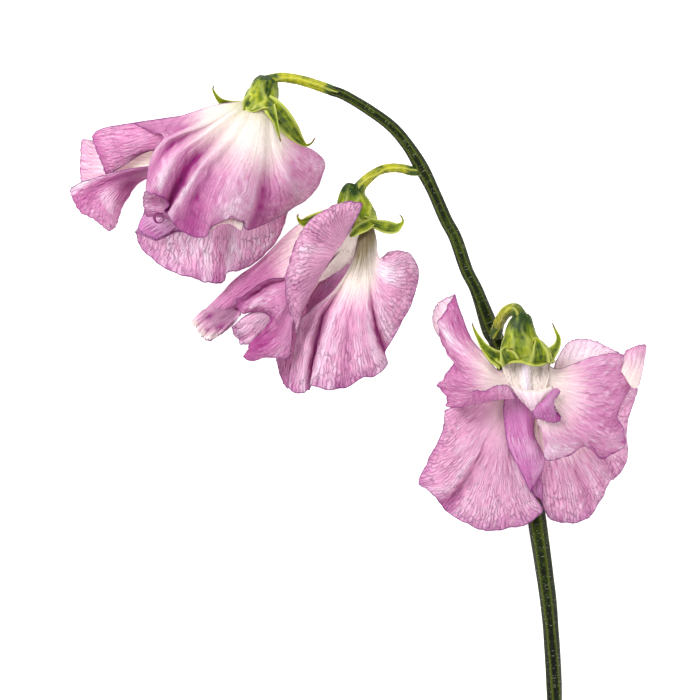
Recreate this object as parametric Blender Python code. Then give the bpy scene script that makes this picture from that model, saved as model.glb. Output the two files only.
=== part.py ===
"""Sweet pea spray: one cut stem with three nodding blossoms, laid on its side.

The stem carries three short stalks.  Each stalk ends in a toothed green bell
(calyx) that holds one blossom: a broad standard, two wings, a boat-shaped keel
and, inside the keel, the slim column of stamens.

Points are millimetres: x across, y up the stem, z away from the table.  Petals
are nets of ribs, each rib running from the claw in the calyx to the free margin.
"""
import math

import bmesh
import bpy
import numpy as np
from mathutils import Vector

MM = 0.001
PETAL_THICKNESS = 0.45
KEEL_THICKNESS = 0.40
CALYX_THICKNESS = 0.45
STEM_SIDES = 14
STALK_SIDES = 12
STAMEN_SIDES = 8
CALYX_SIDES = 32
TOOTH_ROWS = 5
RIM_LENGTH = 0.5
RIM_LEAN = 35.0

# The broad top petal, right flap, midrib, left flap.
STANDARD_1 = [
    [(-14.6, 42.5, 13.8), (-12.3, 39.1, 12.6), (-9.6, 37.0, 9.6), (-7.0, 36.1, 5.0), (-5.4, 35.2, 1.4)],
    [(-14.8, 42.3, 14.2), (-12.1, 37.7, 14.4), (-9.1, 34.6, 12.0), (-6.2, 32.5, 7.2), (-4.8, 31.3, 2.6)],
    [(-15.0, 42.1, 14.5), (-12.9, 37.0, 16.0), (-10.4, 32.7, 15.0), (-8.2, 29.5, 11.0), (-6.8, 28.2, 6.2)],
    [(-15.4, 42.0, 14.8), (-14.3, 36.6, 17.4), (-13.4, 31.3, 17.4), (-12.5, 27.1, 15.0), (-11.8, 24.8, 10.8)],
    [(-15.7, 42.0, 14.9), (-15.9, 36.4, 18.2), (-16.2, 30.4, 19.4), (-17.1, 25.0, 18.0), (-19.1, 21.1, 15.0)],
    [(-16.1, 42.0, 14.9), (-17.9, 36.4, 18.6), (-19.6, 30.4, 20.4), (-21.1, 25.7, 20.0), (-22.1, 22.9, 18.6)],
    [(-16.2, 42.0, 14.9), (-19.6, 36.6, 18.6), (-23.0, 30.4, 20.9), (-25.2, 24.6, 20.4), (-26.2, 20.0, 18.0)],
    [(-16.4, 42.0, 14.8), (-21.2, 37.0, 18.4), (-25.7, 31.8, 20.6), (-28.6, 26.4, 20.0), (-30.0, 21.2, 17.4)],
    [(-16.6, 42.1, 14.6), (-22.5, 37.9, 17.6), (-27.3, 33.9, 19.4), (-30.9, 28.6, 19.0), (-33.4, 24.5, 17.0)],
    [(-16.8, 42.1, 14.4), (-23.4, 38.9, 16.6), (-28.6, 36.1, 17.8), (-32.5, 31.8, 17.4), (-35.7, 27.5, 16.4)],
    [(-17.0, 42.3, 14.0), (-24.1, 40.0, 15.2), (-29.6, 38.4, 15.8), (-32.9, 35.7, 15.4), (-35.7, 31.8, 14.4)],
    [(-17.1, 42.5, 13.6), (-24.5, 41.4, 13.6), (-30.0, 40.9, 13.6), (-32.9, 39.3, 13.2), (-35.2, 36.6, 12.4)],
]
# Far wing petal, twisted into two lobes at the far left.
WING_LEFT_1 = [
    [(-16.6, 42.3, 11.2), (-26.2, 40.9, 10.4), (-33.0, 38.6, 9.4), (-39.3, 40.4, 7.6), (-45.7, 39.1, 5.4)],
    [(-16.6, 42.1, 11.0), (-26.6, 39.5, 10.2), (-34.3, 37.0, 9.4), (-40.2, 37.5, 7.8), (-47.5, 37.5, 4.6)],
    [(-16.6, 42.0, 10.8), (-27.1, 38.6, 9.8), (-35.2, 35.2, 9.4), (-41.4, 34.3, 8.0), (-48.9, 32.9, 3.6)],
    [(-16.6, 41.8, 10.6), (-27.5, 37.3, 9.4), (-35.7, 33.8, 9.2), (-42.9, 31.4, 8.2), (-48.6, 30.0, 4.4)],
    [(-16.6, 41.6, 10.4), (-27.7, 36.2, 9.0), (-36.1, 32.7, 8.6), (-43.2, 29.3, 6.4), (-50.0, 28.2, 2.2)],
    [(-16.6, 41.4, 10.2), (-27.7, 35.4, 8.4), (-35.9, 31.6, 7.6), (-42.1, 26.6, 5.0), (-48.6, 23.9, 1.0)],
    [(-16.6, 41.2, 10.0), (-27.5, 34.6, 7.8), (-35.7, 30.5, 6.4), (-40.7, 24.5, 3.6), (-43.8, 21.6, 0.6)],
]
# Near wing petal, spread below the broad top petal.
WING_RIGHT_1 = [
    [(-15.0, 41.4, 11.5), (-13.9, 33.9, 11.0), (-12.5, 27.7, 9.8), (-11.8, 24.1, 8.8), (-12.3, 21.1, 7.4)],
    [(-15.2, 41.2, 11.5), (-15.7, 33.0, 11.3), (-15.4, 25.9, 10.4), (-15.0, 20.5, 8.8), (-15.7, 16.8, 6.4)],
    [(-15.4, 41.2, 11.5), (-17.9, 33.0, 11.5), (-19.1, 25.9, 10.9), (-19.6, 19.6, 9.0), (-20.7, 13.9, 6.4)],
    [(-15.5, 41.1, 11.6), (-19.6, 33.4, 11.6), (-22.1, 25.9, 11.0), (-23.2, 19.6, 9.2), (-23.9, 12.0, 6.6)],
    [(-15.7, 41.1, 11.6), (-21.2, 33.9, 11.5), (-25.4, 26.6, 10.9), (-27.5, 20.0, 8.8), (-28.6, 13.0, 5.2)],
    [(-15.9, 41.1, 11.6), (-22.5, 34.5, 11.3), (-28.0, 27.5, 10.5), (-31.4, 21.1, 7.8), (-33.6, 15.0, 4.0)],
    [(-16.1, 41.1, 11.6), (-23.6, 35.0, 11.0), (-30.0, 28.9, 10.1), (-34.1, 23.4, 7.2), (-37.1, 17.5, 2.6)],
    [(-16.2, 41.2, 11.6), (-24.5, 35.7, 10.7), (-31.8, 30.4, 9.5), (-35.7, 25.7, 6.6), (-38.6, 20.7, 2.6)],
]
# Keel, two petals fused along the back edge into a boat.
KEEL_1 = [
    [(-16.6, 42.3, 13.2), (-23.9, 36.4, 13.2), (-30.0, 30.7, 13.2), (-34.6, 26.4, 12.4), (-37.1, 23.9, 11.0)],
    [(-16.4, 42.1, 13.6), (-23.4, 35.9, 14.2), (-29.3, 29.8, 14.4), (-34.1, 25.4, 13.4), (-37.7, 22.5, 11.6)],
    [(-16.2, 42.0, 13.8), (-22.7, 35.4, 14.6), (-28.6, 28.9, 14.8), (-33.4, 24.3, 13.8), (-37.7, 21.4, 11.8)],
    [(-15.9, 41.8, 13.6), (-22.0, 34.6, 14.2), (-27.7, 28.0, 14.4), (-32.1, 23.2, 13.4), (-36.4, 20.5, 11.6)],
    [(-15.7, 41.6, 13.2), (-21.2, 33.9, 13.2), (-26.6, 27.1, 13.2), (-30.7, 22.1, 12.4), (-34.6, 19.8, 11.0)],
]
# Far half along the upper left, midrib, then the near half folded up towards the top face.
STANDARD_2 = [
    [(-0.4, 21.8, 12.6), (-3.9, 19.6, 9.8), (-10.7, 20.4, 6.2), (-20.0, 13.4, 3.2), (-28.0, 5.9, 0.8)],
    [(-0.4, 21.6, 12.9), (-4.8, 19.1, 10.6), (-13.4, 17.0, 7.4), (-20.0, 11.4, 5.0), (-27.3, 4.1, 2.4)],
    [(-0.4, 21.4, 13.3), (-5.7, 18.2, 11.6), (-12.5, 13.4, 9.2), (-18.8, 9.3, 7.0), (-25.4, 2.0, 4.0)],
    [(-0.2, 21.2, 13.8), (-6.2, 17.5, 12.8), (-12.3, 11.4, 10.8), (-17.9, 7.5, 8.6), (-22.5, 3.0, 6.4)],
    [(0.0, 21.1, 14.5), (-6.8, 17.0, 14.5), (-11.8, 9.8, 12.8), (-15.9, 5.4, 10.8), (-19.6, 0.4, 8.6)],
    [(0.2, 20.9, 15.3), (-7.3, 16.8, 16.7), (-11.4, 9.6, 15.2), (-13.9, 4.3, 13.2), (-16.4, -1.4, 10.8)],
    [(0.4, 20.7, 16.4), (-7.9, 17.5, 18.8), (-11.2, 10.0, 17.6), (-12.0, 3.9, 16.0), (-12.1, -1.4, 13.2)],
    [(0.5, 22.0, 18.4), (-7.5, 19.1, 20.3), (-10.5, 10.7, 19.6), (-10.5, 4.3, 18.4), (-10.5, -0.4, 16.4)],
    [(1.1, 23.9, 18.9), (-5.0, 20.4, 21.0), (-8.6, 11.8, 20.8), (-9.6, 5.7, 19.8), (-9.8, 1.1, 18.4)],
    [(2.0, 25.5, 19.0), (-2.0, 19.6, 21.0), (-6.2, 11.8, 21.0), (-8.6, 6.1, 20.2), (-9.5, 2.3, 19.2)],
]
# Far wing petal, hidden but for its lower edge.
WING_LEFT_2 = [
    [(1.2, 21.2, 11.8), (-1.2, 12.9, 10.8), (-3.6, 4.5, 10.4), (-5.4, -2.1, 10.2), (-7.3, -7.7, 9.8)],
    [(1.1, 21.2, 11.6), (-2.3, 13.2, 9.8), (-5.9, 5.0, 8.8), (-8.2, -1.8, 8.4), (-10.2, -7.1, 7.6)],
    [(0.9, 21.2, 11.5), (-3.4, 13.8, 8.8), (-7.7, 6.1, 7.4), (-10.5, 0.0, 6.6), (-12.3, -5.5, 5.4)],
    [(0.7, 21.2, 11.4), (-4.1, 14.5, 8.2), (-8.9, 8.0, 6.4), (-11.8, 3.4, 5.2), (-13.4, -1.2, 3.6)],
    [(0.5, 21.4, 11.5), (-4.8, 15.5, 8.0), (-9.1, 10.5, 5.8), (-11.8, 7.3, 4.2), (-13.9, 3.9, 2.2)],
]
# Near wing petal, a broad fan with a greenish claw.
WING_RIGHT_2 = [
    [(3.6, 22.3, 14.6), (4.5, 18.9, 15.2), (6.1, 17.3, 14.8), (8.8, 17.9, 12.8), (10.5, 17.5, 10.8)],
    [(3.4, 22.1, 14.8), (4.3, 17.5, 16.0), (7.3, 15.7, 15.8), (10.4, 15.5, 13.4), (12.3, 14.3, 10.2)],
    [(3.2, 22.0, 15.0), (3.9, 16.2, 16.4), (7.0, 12.7, 16.6), (9.8, 10.9, 14.8), (11.6, 9.8, 11.2)],
    [(3.0, 21.8, 15.2), (3.4, 15.5, 16.8), (5.4, 10.2, 17.4), (7.3, 6.4, 16.4), (8.6, 4.5, 13.4)],
    [(2.9, 21.8, 15.3), (2.9, 15.2, 17.0), (3.8, 8.8, 17.8), (5.4, 3.4, 17.2), (6.6, -1.4, 14.6)],
    [(2.7, 21.8, 15.3), (2.3, 14.8, 17.0), (2.1, 7.9, 17.8), (2.9, 1.4, 17.2), (3.0, -4.6, 14.6)],
    [(2.5, 21.8, 15.2), (1.8, 14.6, 16.8), (0.4, 7.3, 17.4), (-0.5, 0.7, 16.8), (-1.6, -7.1, 14.0)],
    [(2.3, 21.8, 15.0), (1.2, 14.5, 16.5), (-1.2, 7.9, 16.7), (-3.4, 1.6, 16.2), (-6.6, -6.4, 13.0)],
    [(2.1, 22.0, 14.8), (0.7, 15.4, 16.2), (-2.7, 10.0, 16.0), (-5.5, 5.4, 15.6), (-7.9, 0.7, 14.6)],
]
# Keel, two petals fused along the back edge into a boat.
KEEL_2 = [
    [(0.7, 20.7, 12.9), (-2.1, 16.2, 13.0), (-5.2, 12.3, 12.6), (-7.3, 8.9, 12.0), (-8.0, 5.5, 11.4)],
    [(1.1, 20.9, 13.6), (-1.8, 15.9, 14.2), (-4.6, 11.8, 13.6), (-6.8, 8.4, 12.8), (-7.7, 5.4, 11.7)],
    [(1.4, 20.9, 13.9), (-1.2, 15.7, 14.6), (-3.8, 11.2, 14.0), (-6.1, 8.0, 13.2), (-7.3, 5.2, 11.9)],
    [(1.8, 20.9, 13.6), (-0.5, 15.4, 14.2), (-2.9, 10.9, 13.6), (-5.4, 7.7, 12.8), (-7.0, 5.0, 11.7)],
    [(2.1, 20.7, 12.9), (0.0, 15.0, 13.0), (-2.1, 10.4, 12.4), (-4.6, 7.3, 12.0), (-6.6, 4.8, 11.4)],
]
# Claw in the calyx mouth, then the blade thrown back to both sides; left flap, midrib, right flap.
STANDARD_3 = [
    [(29.3, -0.9, 18.0), (26.2, -3.2, 15.4), (22.9, 0.2, 12.4), (20.2, 5.7, 12.0), (18.9, 9.8, 10.5)],
    [(29.5, -0.9, 18.2), (26.4, -4.5, 16.4), (20.7, -0.7, 14.0), (17.7, 3.6, 11.0), (16.1, 7.9, 9.0)],
    [(29.6, -1.1, 18.4), (26.6, -5.2, 17.5), (21.2, -3.4, 15.0), (17.5, -1.1, 11.5), (15.9, 1.6, 8.5)],
    [(30.0, -1.1, 18.6), (27.3, -6.1, 17.9), (22.1, -6.1, 16.2), (18.2, -6.1, 12.5), (15.5, -6.8, 9.5)],
    [(30.4, -1.1, 18.8), (28.2, -7.0, 18.2), (24.3, -8.2, 17.4), (20.7, -9.3, 14.8), (17.5, -10.2, 11.5)],
    [(30.7, -1.1, 18.9), (29.8, -7.5, 18.6), (27.9, -9.3, 18.6), (26.2, -10.4, 18.2), (25.0, -10.9, 17.4)],
    [(31.1, -1.1, 18.9), (31.6, -7.3, 19.0), (32.0, -8.9, 19.2), (32.1, -10.0, 19.0), (32.3, -11.1, 18.4)],
    [(31.4, -1.1, 18.9), (33.4, -7.3, 18.6), (34.6, -9.5, 18.8), (35.5, -11.2, 18.4), (36.1, -12.7, 17.2)],
    [(31.8, -1.1, 18.8), (34.8, -6.8, 18.2), (37.9, -12.0, 17.8), (40.0, -16.1, 16.8), (41.1, -18.2, 15.2)],
    [(32.0, -1.1, 18.6), (35.5, -5.9, 17.8), (41.4, -10.2, 17.0), (45.4, -15.0, 15.4), (47.7, -18.4, 13.0)],
    [(32.1, -0.9, 18.4), (35.9, -4.8, 17.4), (42.3, -6.8, 16.4), (47.5, -9.1, 13.4), (50.9, -12.5, 9.8)],
    [(32.3, -0.9, 18.2), (36.1, -3.9, 17.0), (42.1, -3.8, 15.6), (47.7, -4.1, 12.6), (52.0, -7.1, 8.6)],
    [(32.3, -0.7, 18.0), (35.9, -3.0, 16.4), (41.1, -0.9, 14.2), (46.8, -0.2, 12.0), (52.7, 0.5, 9.6)],
]
# Left wing petal, a fan hanging to the lower left.
WING_LEFT_3 = [
    [(29.5, -1.1, 14.5), (26.8, -5.0, 13.0), (22.1, -8.6, 11.2), (17.1, -10.0, 8.0)],
    [(29.6, -1.2, 14.3), (27.1, -5.7, 12.8), (21.4, -12.5, 10.0), (16.4, -15.0, 5.6)],
    [(29.6, -1.4, 14.2), (27.5, -6.6, 12.6), (21.4, -16.2, 9.0), (14.3, -20.2, 3.0)],
    [(29.8, -1.4, 14.1), (27.9, -7.5, 12.4), (21.8, -20.0, 8.4), (12.5, -24.1, 0.6)],
    [(30.0, -1.6, 14.0), (28.2, -8.2, 12.3), (23.9, -21.8, 9.0), (18.8, -29.8, 3.6)],
    [(30.2, -1.6, 14.0), (28.4, -8.6, 12.3), (26.1, -22.3, 9.8), (24.8, -32.3, 6.6)],
    [(30.4, -1.8, 13.9), (28.6, -8.9, 12.3), (28.2, -21.8, 10.6), (30.7, -31.4, 8.8)],
    [(30.5, -1.8, 13.9), (28.8, -8.9, 12.4), (29.6, -18.9, 11.4), (34.5, -28.4, 10.0)],
]
# Right wing petal, a fan hanging to the lower right.
WING_RIGHT_3 = [
    [(31.4, -1.8, 13.9), (33.4, -8.6, 12.4), (34.5, -18.8, 11.6), (35.7, -30.4, 9.0)],
    [(31.6, -1.6, 14.0), (34.3, -8.4, 12.3), (36.8, -18.9, 10.8), (40.0, -31.3, 6.0)],
    [(31.8, -1.4, 14.0), (35.0, -8.0, 12.2), (39.3, -18.8, 10.0), (44.3, -29.1, 4.0)],
    [(32.0, -1.4, 14.1), (35.5, -7.5, 12.1), (41.6, -17.9, 9.4), (47.9, -23.4, 2.0)],
    [(32.1, -1.2, 14.2), (36.1, -6.8, 12.0), (43.2, -15.5, 9.0), (50.5, -18.9, 0.7)],
    [(32.3, -1.1, 14.3), (36.4, -6.1, 12.0), (43.9, -12.3, 9.4), (50.4, -13.9, 2.0)],
    [(32.5, -0.9, 14.5), (36.6, -5.4, 12.2), (44.1, -9.3, 9.8), (51.2, -9.3, 3.4)],
]
# Keel, two petals fused along the back edge into a boat.
KEEL_3 = [
    [(29.8, -1.2, 15.9), (28.8, -8.6, 14.2), (29.1, -16.1, 13.0), (31.1, -22.1, 11.8), (32.9, -25.2, 11.4)],
    [(30.2, -1.1, 16.8), (29.6, -8.6, 15.4), (30.4, -16.1, 14.4), (32.1, -21.4, 12.8), (33.4, -24.6, 11.8)],
    [(30.7, -1.1, 17.2), (30.7, -8.6, 16.0), (31.6, -15.7, 15.0), (33.2, -20.7, 13.2), (33.9, -24.3, 12.0)],
    [(31.3, -1.1, 16.8), (31.8, -8.6, 15.4), (32.7, -15.5, 14.4), (34.1, -20.4, 12.8), (34.3, -23.9, 11.8)],
    [(31.6, -1.2, 15.9), (32.3, -8.6, 14.2), (33.0, -15.5, 13.0), (34.8, -20.4, 11.8), (34.6, -23.9, 11.4)],
]
STEM_LINE = [
    (37.1, -92.5, 1.6, 1.42),
    (37.1, -76.8, 1.9, 1.40),
    (37.1, -62.5, 2.4, 1.38),
    (36.2, -48.2, 3.3, 1.42),
    (35.0, -38.8, 4.0, 1.55),
    (33.9, -31.3, 4.6, 1.62),
    (32.3, -19.6, 5.6, 1.60),
    (29.6, -8.9, 6.8, 1.50),
    (26.6, 0.9, 8.2, 1.45),
    (25.2, 3.9, 8.7, 1.55),
    (22.7, 10.7, 9.6, 1.14),
    (20.9, 14.3, 10.0, 1.14),
    (18.9, 20.0, 10.6, 1.16),
    (17.1, 23.4, 10.9, 1.12),
    (14.8, 28.6, 11.4, 1.10),
    (12.7, 32.7, 11.9, 1.25),
    (10.4, 36.4, 12.3, 1.06),
    (7.5, 39.8, 12.6, 1.02),
    (3.6, 42.7, 12.8, 0.96),
    (-0.9, 45.4, 12.8, 0.90),
    (-3.6, 46.4, 12.7, 0.92),
]
PEDICEL_LINE_1 = [
    (-4.8, 46.8, 12.6, 0.92),
    (-7.9, 48.1, 12.6, 0.86),
    (-10.7, 48.8, 12.6, 0.80),
    (-12.9, 49.1, 12.6, 0.80),
    (-14.3, 48.8, 12.6, 0.85),
    (-14.9, 47.9, 12.5, 0.95),
]
PEDICEL_LINE_2 = [
    (10.7, 32.0, 12.0, 0.78),
    (9.3, 32.4, 12.1, 0.74),
    (7.3, 32.5, 12.2, 0.72),
    (5.2, 32.0, 12.4, 0.72),
    (3.2, 30.5, 12.6, 0.78),
    (1.8, 29.3, 12.7, 0.90),
    (1.2, 28.3, 12.7, 1.00),
]
PEDICEL_LINE_3 = [
    (26.4, 4.6, 10.8, 0.72),
    (26.8, 5.7, 12.4, 0.74),
    (27.5, 7.0, 14.4, 0.78),
    (28.6, 7.9, 16.2, 0.80),
    (29.6, 7.5, 17.2, 0.86),
    (30.1, 6.2, 17.3, 1.00),
]
STAMEN_LINE_1 = [
    (-15.9, 41.2, 12.4, 0.40),
    (-22.1, 34.5, 12.8, 0.40),
    (-28.2, 28.4, 12.9, 0.40),
    (-32.7, 24.1, 12.1, 0.40),
]
STAMEN_LINE_2 = [
    (1.2, 19.6, 12.4, 0.40),
    (-1.2, 15.4, 12.7, 0.40),
    (-3.8, 11.1, 12.1, 0.42),
    (-5.7, 8.4, 11.5, 0.40),
]
STAMEN_LINE_3 = [
    (30.7, -1.4, 15.7, 0.40),
    (30.7, -8.6, 14.2, 0.40),
    (31.4, -15.7, 12.6, 0.45),
    (33.0, -20.7, 11.2, 0.45),
]
# Radii along the bell of a calyx, from the stalk to the mouth.
CALYX_RADII = [1.30, 1.75, 2.30, 2.80, 3.20]
# Teeth: turn about the bell's axis (0 faces up from the table, 90 to the right),
# length, half width in degrees, and the lean at the root and at the tip.
TEETH_1 = [
    (78, 7.4, 36, 25, 105),
    (-92, 6.4, 30, 60, 150),
    (20, 2.6, 30, 35, 120),
    (-40, 2.2, 28, 40, 120),
    (180, 3.0, 40, 45, 130),
]
TEETH_2 = [
    (88, 6.0, 32, 70, 150),
    (-88, 7.2, 30, 75, 115),
    (28, 2.6, 30, 40, 110),
    (-36, 1.0, 28, 40, 60),
    (180, 3.0, 40, 45, 130),
]
TEETH_3 = [
    (80, 7.0, 36, 75, 190),
    (-80, 7.6, 36, 75, 160),
    (36, 3.0, 26, 60, 160),
    (-36, 3.0, 26, 60, 160),
    (180, 3.0, 40, 45, 130),
]

# Calyces: top of the bell, middle of the mouth, teeth.
CALYCES = [
    ((-15.0, 47.1, 12.5), (-15.7, 43.5, 12.4), TEETH_1),
    ((1.2, 27.2, 12.8), (1.4, 22.9, 13.6), TEETH_2),
    ((30.2, 5.4, 17.2), (30.8, -0.3, 16.4), TEETH_3),
]

PETAL_PINK = (0.60, 0.28, 0.49)
PETAL_PALE = (0.74, 0.44, 0.62)
PETAL_DEEP = (0.48, 0.15, 0.36)
STEM_GREEN = (0.06, 0.12, 0.02)
CALYX_GREEN = (0.34, 0.42, 0.07)
STAMEN_CREAM = (0.80, 0.76, 0.52)


def clear_scene():
    for item in list(bpy.data.objects):
        bpy.data.objects.remove(item, do_unlink=True)


def make_material(name, colour, roughness):
    material = bpy.data.materials.new(name)
    material.use_nodes = True
    shader = material.node_tree.nodes["Principled BSDF"]
    shader.inputs["Base Color"].default_value = (*colour, 1.0)
    shader.inputs["Roughness"].default_value = roughness
    shader.inputs["Metallic"].default_value = 0.0
    return material


def smooth_line(points, count):
    """Point positions spread evenly along a smooth curve through the given ones."""
    knots = np.asarray(points, dtype=float)
    last = len(knots) - 1
    padded = np.vstack([2 * knots[0] - knots[1], knots, 2 * knots[-1] - knots[-2]])
    where = np.linspace(0, last, count)
    index = np.clip(where.astype(int), 0, last - 1)
    t = (where - index)[:, None]
    a, b, c, d = (padded[index + k] for k in range(4))
    return 0.5 * (2 * b + (c - a) * t + (2 * a - 5 * b + 4 * c - d) * t ** 2
                  + (3 * b - a - 3 * c + d) * t ** 3)


def add_object(name, vertices, faces, material):
    mesh = bpy.data.meshes.new(name)
    mesh.from_pydata([tuple(v) for v in np.asarray(vertices) * MM], [], faces)
    mesh.materials.append(material)
    mesh.shade_smooth()
    item = bpy.data.objects.new(name, mesh)
    bpy.context.scene.collection.objects.link(item)
    return item


def face_outward(item):
    shape = bmesh.new()
    shape.from_mesh(item.data)
    bmesh.ops.recalc_face_normals(shape, faces=shape.faces)
    if shape.calc_volume(signed=True) < 0:
        bmesh.ops.reverse_faces(shape, faces=shape.faces)
    shape.to_mesh(item.data)
    shape.free()


def apply_modifiers(item):
    graph = bpy.context.evaluated_depsgraph_get()
    mesh = bpy.data.meshes.new_from_object(item.evaluated_get(graph))
    item.modifiers.clear()
    item.data = mesh
    face_outward(item)


def thicken(item, thickness):
    shell = item.modifiers.new("Thickness", "SOLIDIFY")
    shell.thickness = thickness * MM
    shell.offset = 0.0
    shell.use_even_offset = False
    apply_modifiers(item)


def add_petal(name, ribs, across, along, thickness, material):
    lines = [smooth_line(rib, along + 1) for rib in ribs]
    rows = [smooth_line([line[k] for line in lines], across + 1) for k in range(along + 1)]
    width = across + 1
    faces = []
    for row in range(along):
        for column in range(across):
            corner = row * width + column
            faces.append((corner, corner + 1, corner + width + 1, corner + width))
    item = add_object(name, np.vstack(rows), faces, material)
    thicken(item, thickness)


def add_tube(name, line, rings, sides, material):
    """Round stalk through (x, y, z, radius) stations, closed flat at both ends."""
    stations = smooth_line(line, rings)
    centres = stations[:, :3]
    vertices = []
    for k, centre in enumerate(centres):
        ahead = Vector(centres[min(k + 1, rings - 1)] - centres[max(k - 1, 0)]).normalized()
        side = ahead.cross(Vector((0, 0, 1))).normalized()
        lift = side.cross(ahead)
        for step in range(sides):
            angle = 2 * math.pi * step / sides
            spoke = side * math.cos(angle) + lift * math.sin(angle)
            vertices.append(centre + stations[k, 3] * np.array(spoke))
    faces = [tuple(range(sides)), tuple(range((rings - 1) * sides, rings * sides))]
    for k in range(rings - 1):
        for step in range(sides):
            beside = (step + 1) % sides
            faces.append((k * sides + step, k * sides + beside,
                          (k + 1) * sides + beside, (k + 1) * sides + step))
    item = add_object(name, vertices, faces, material)
    face_outward(item)


def tooth_at(teeth, turn):
    """Length, root lean and tip lean of the calyx rim at one turn about its axis."""
    length, root, tip = RIM_LENGTH, RIM_LEAN, RIM_LEAN
    for centre, reach, half_width, root_lean, tip_lean in teeth:
        off = abs((turn - centre + 180) % 360 - 180) / half_width
        if off < 1:
            share = (0.5 + 0.5 * math.cos(math.pi * off)) ** 0.8
            length += (reach - RIM_LENGTH) * share
            root += (root_lean - RIM_LEAN) * share
            tip += (tip_lean - RIM_LEAN) * share
    return length, root, tip


def add_calyx(name, top, mouth, teeth, material):
    """Hollow bell closed at the stalk, its rim drawn out into curling teeth."""
    top, mouth = Vector(top), Vector(mouth)
    axis = (mouth - top).normalized()
    front = (Vector((0, 0, 1)) - axis * axis.z).normalized()
    right = axis.cross(front) if axis.cross(front).x > 0 else front.cross(axis)
    bell_rows = len(CALYX_RADII)
    depth = (mouth - top).length
    vertices = []
    for row in range(bell_rows + TOOTH_ROWS):
        for step in range(CALYX_SIDES):
            turn = 360 * step / CALYX_SIDES
            outward = front * math.cos(math.radians(turn)) + right * math.sin(math.radians(turn))
            radius = CALYX_RADII[min(row, bell_rows - 1)]
            point = top + axis * depth * min(row, bell_rows - 1) / (bell_rows - 1) + outward * radius
            length, root, tip = tooth_at(teeth, turn)
            for part in range(row - bell_rows + 1):
                lean = math.radians(root + (tip - root) * (part + 0.5) / TOOTH_ROWS)
                point += (axis * math.cos(lean) + outward * math.sin(lean)) * length / TOOTH_ROWS
            vertices.append(point)
    faces = [tuple(range(CALYX_SIDES))]
    for row in range(bell_rows + TOOTH_ROWS - 1):
        for step in range(CALYX_SIDES):
            beside = (step + 1) % CALYX_SIDES
            low, high = row * CALYX_SIDES, (row + 1) * CALYX_SIDES
            faces.append((low + step, low + beside, high + beside, high + step))
    item = add_object(name, [tuple(v) for v in vertices], faces, material)
    thicken(item, CALYX_THICKNESS)


def set_on_table():
    """Moves the whole spray so that it is centred and its lowest point is on the table."""
    items = list(bpy.context.scene.objects)
    points = np.vstack([[v.co for v in item.data.vertices] for item in items])
    low, high = points.min(axis=0), points.max(axis=0)
    shift = Vector((-(low[0] + high[0]) / 2, -(low[1] + high[1]) / 2, -low[2]))
    for item in items:
        for vertex in item.data.vertices:
            vertex.co += shift
        item.data.update()
    print("shift in millimetres", [round(value / MM, 3) for value in shift])


def build():
    clear_scene()
    pink = make_material("petal_pink", PETAL_PINK, 0.6)
    pale = make_material("petal_pale", PETAL_PALE, 0.6)
    deep = make_material("petal_deep", PETAL_DEEP, 0.6)
    green = make_material("stem_green", STEM_GREEN, 0.5)
    leafy = make_material("calyx_green", CALYX_GREEN, 0.55)
    cream = make_material("stamen_cream", STAMEN_CREAM, 0.6)

    add_tube("stem", STEM_LINE, 46, STEM_SIDES, green)
    for number, line in enumerate((PEDICEL_LINE_1, PEDICEL_LINE_2, PEDICEL_LINE_3), 1):
        add_tube(f"pedicel_{number}", line, 12, STALK_SIDES, leafy)
    for number, (top, mouth, teeth) in enumerate(CALYCES, 1):
        add_calyx(f"calyx_{number}", top, mouth, teeth, leafy)
    for number, net in enumerate((STANDARD_1, STANDARD_2, STANDARD_3), 1):
        add_petal(f"standard_{number}", net, 24, 14, PETAL_THICKNESS, pink)
    for number, net in enumerate((WING_LEFT_1, WING_LEFT_2, WING_LEFT_3), 1):
        add_petal(f"wing_left_{number}", net, 14, 11, PETAL_THICKNESS, pale)
    for number, net in enumerate((WING_RIGHT_1, WING_RIGHT_2, WING_RIGHT_3), 1):
        add_petal(f"wing_right_{number}", net, 14, 11, PETAL_THICKNESS, pale)
    for number, net in enumerate((KEEL_1, KEEL_2, KEEL_3), 1):
        add_petal(f"keel_{number}", net, 8, 11, KEEL_THICKNESS, deep)
    for number, line in enumerate((STAMEN_LINE_1, STAMEN_LINE_2, STAMEN_LINE_3), 1):
        add_tube(f"stamens_{number}", line, 10, STAMEN_SIDES, cream)
    set_on_table()


build()
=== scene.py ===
"""Sweet pea spray lying on a light table: the fine petals, calyces, stalks and stem.

Shapes are drawn in millimetres on the spray's own drawing plane: x across, y up the
stem, z away from the table.  A petal is a net of ribs, each rib running from the claw
in the calyx to the free margin; ruffles and rolled margins are added to it.
"""

import logging
import math
from collections.abc import Callable
from dataclasses import dataclass
from enum import Enum

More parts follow.
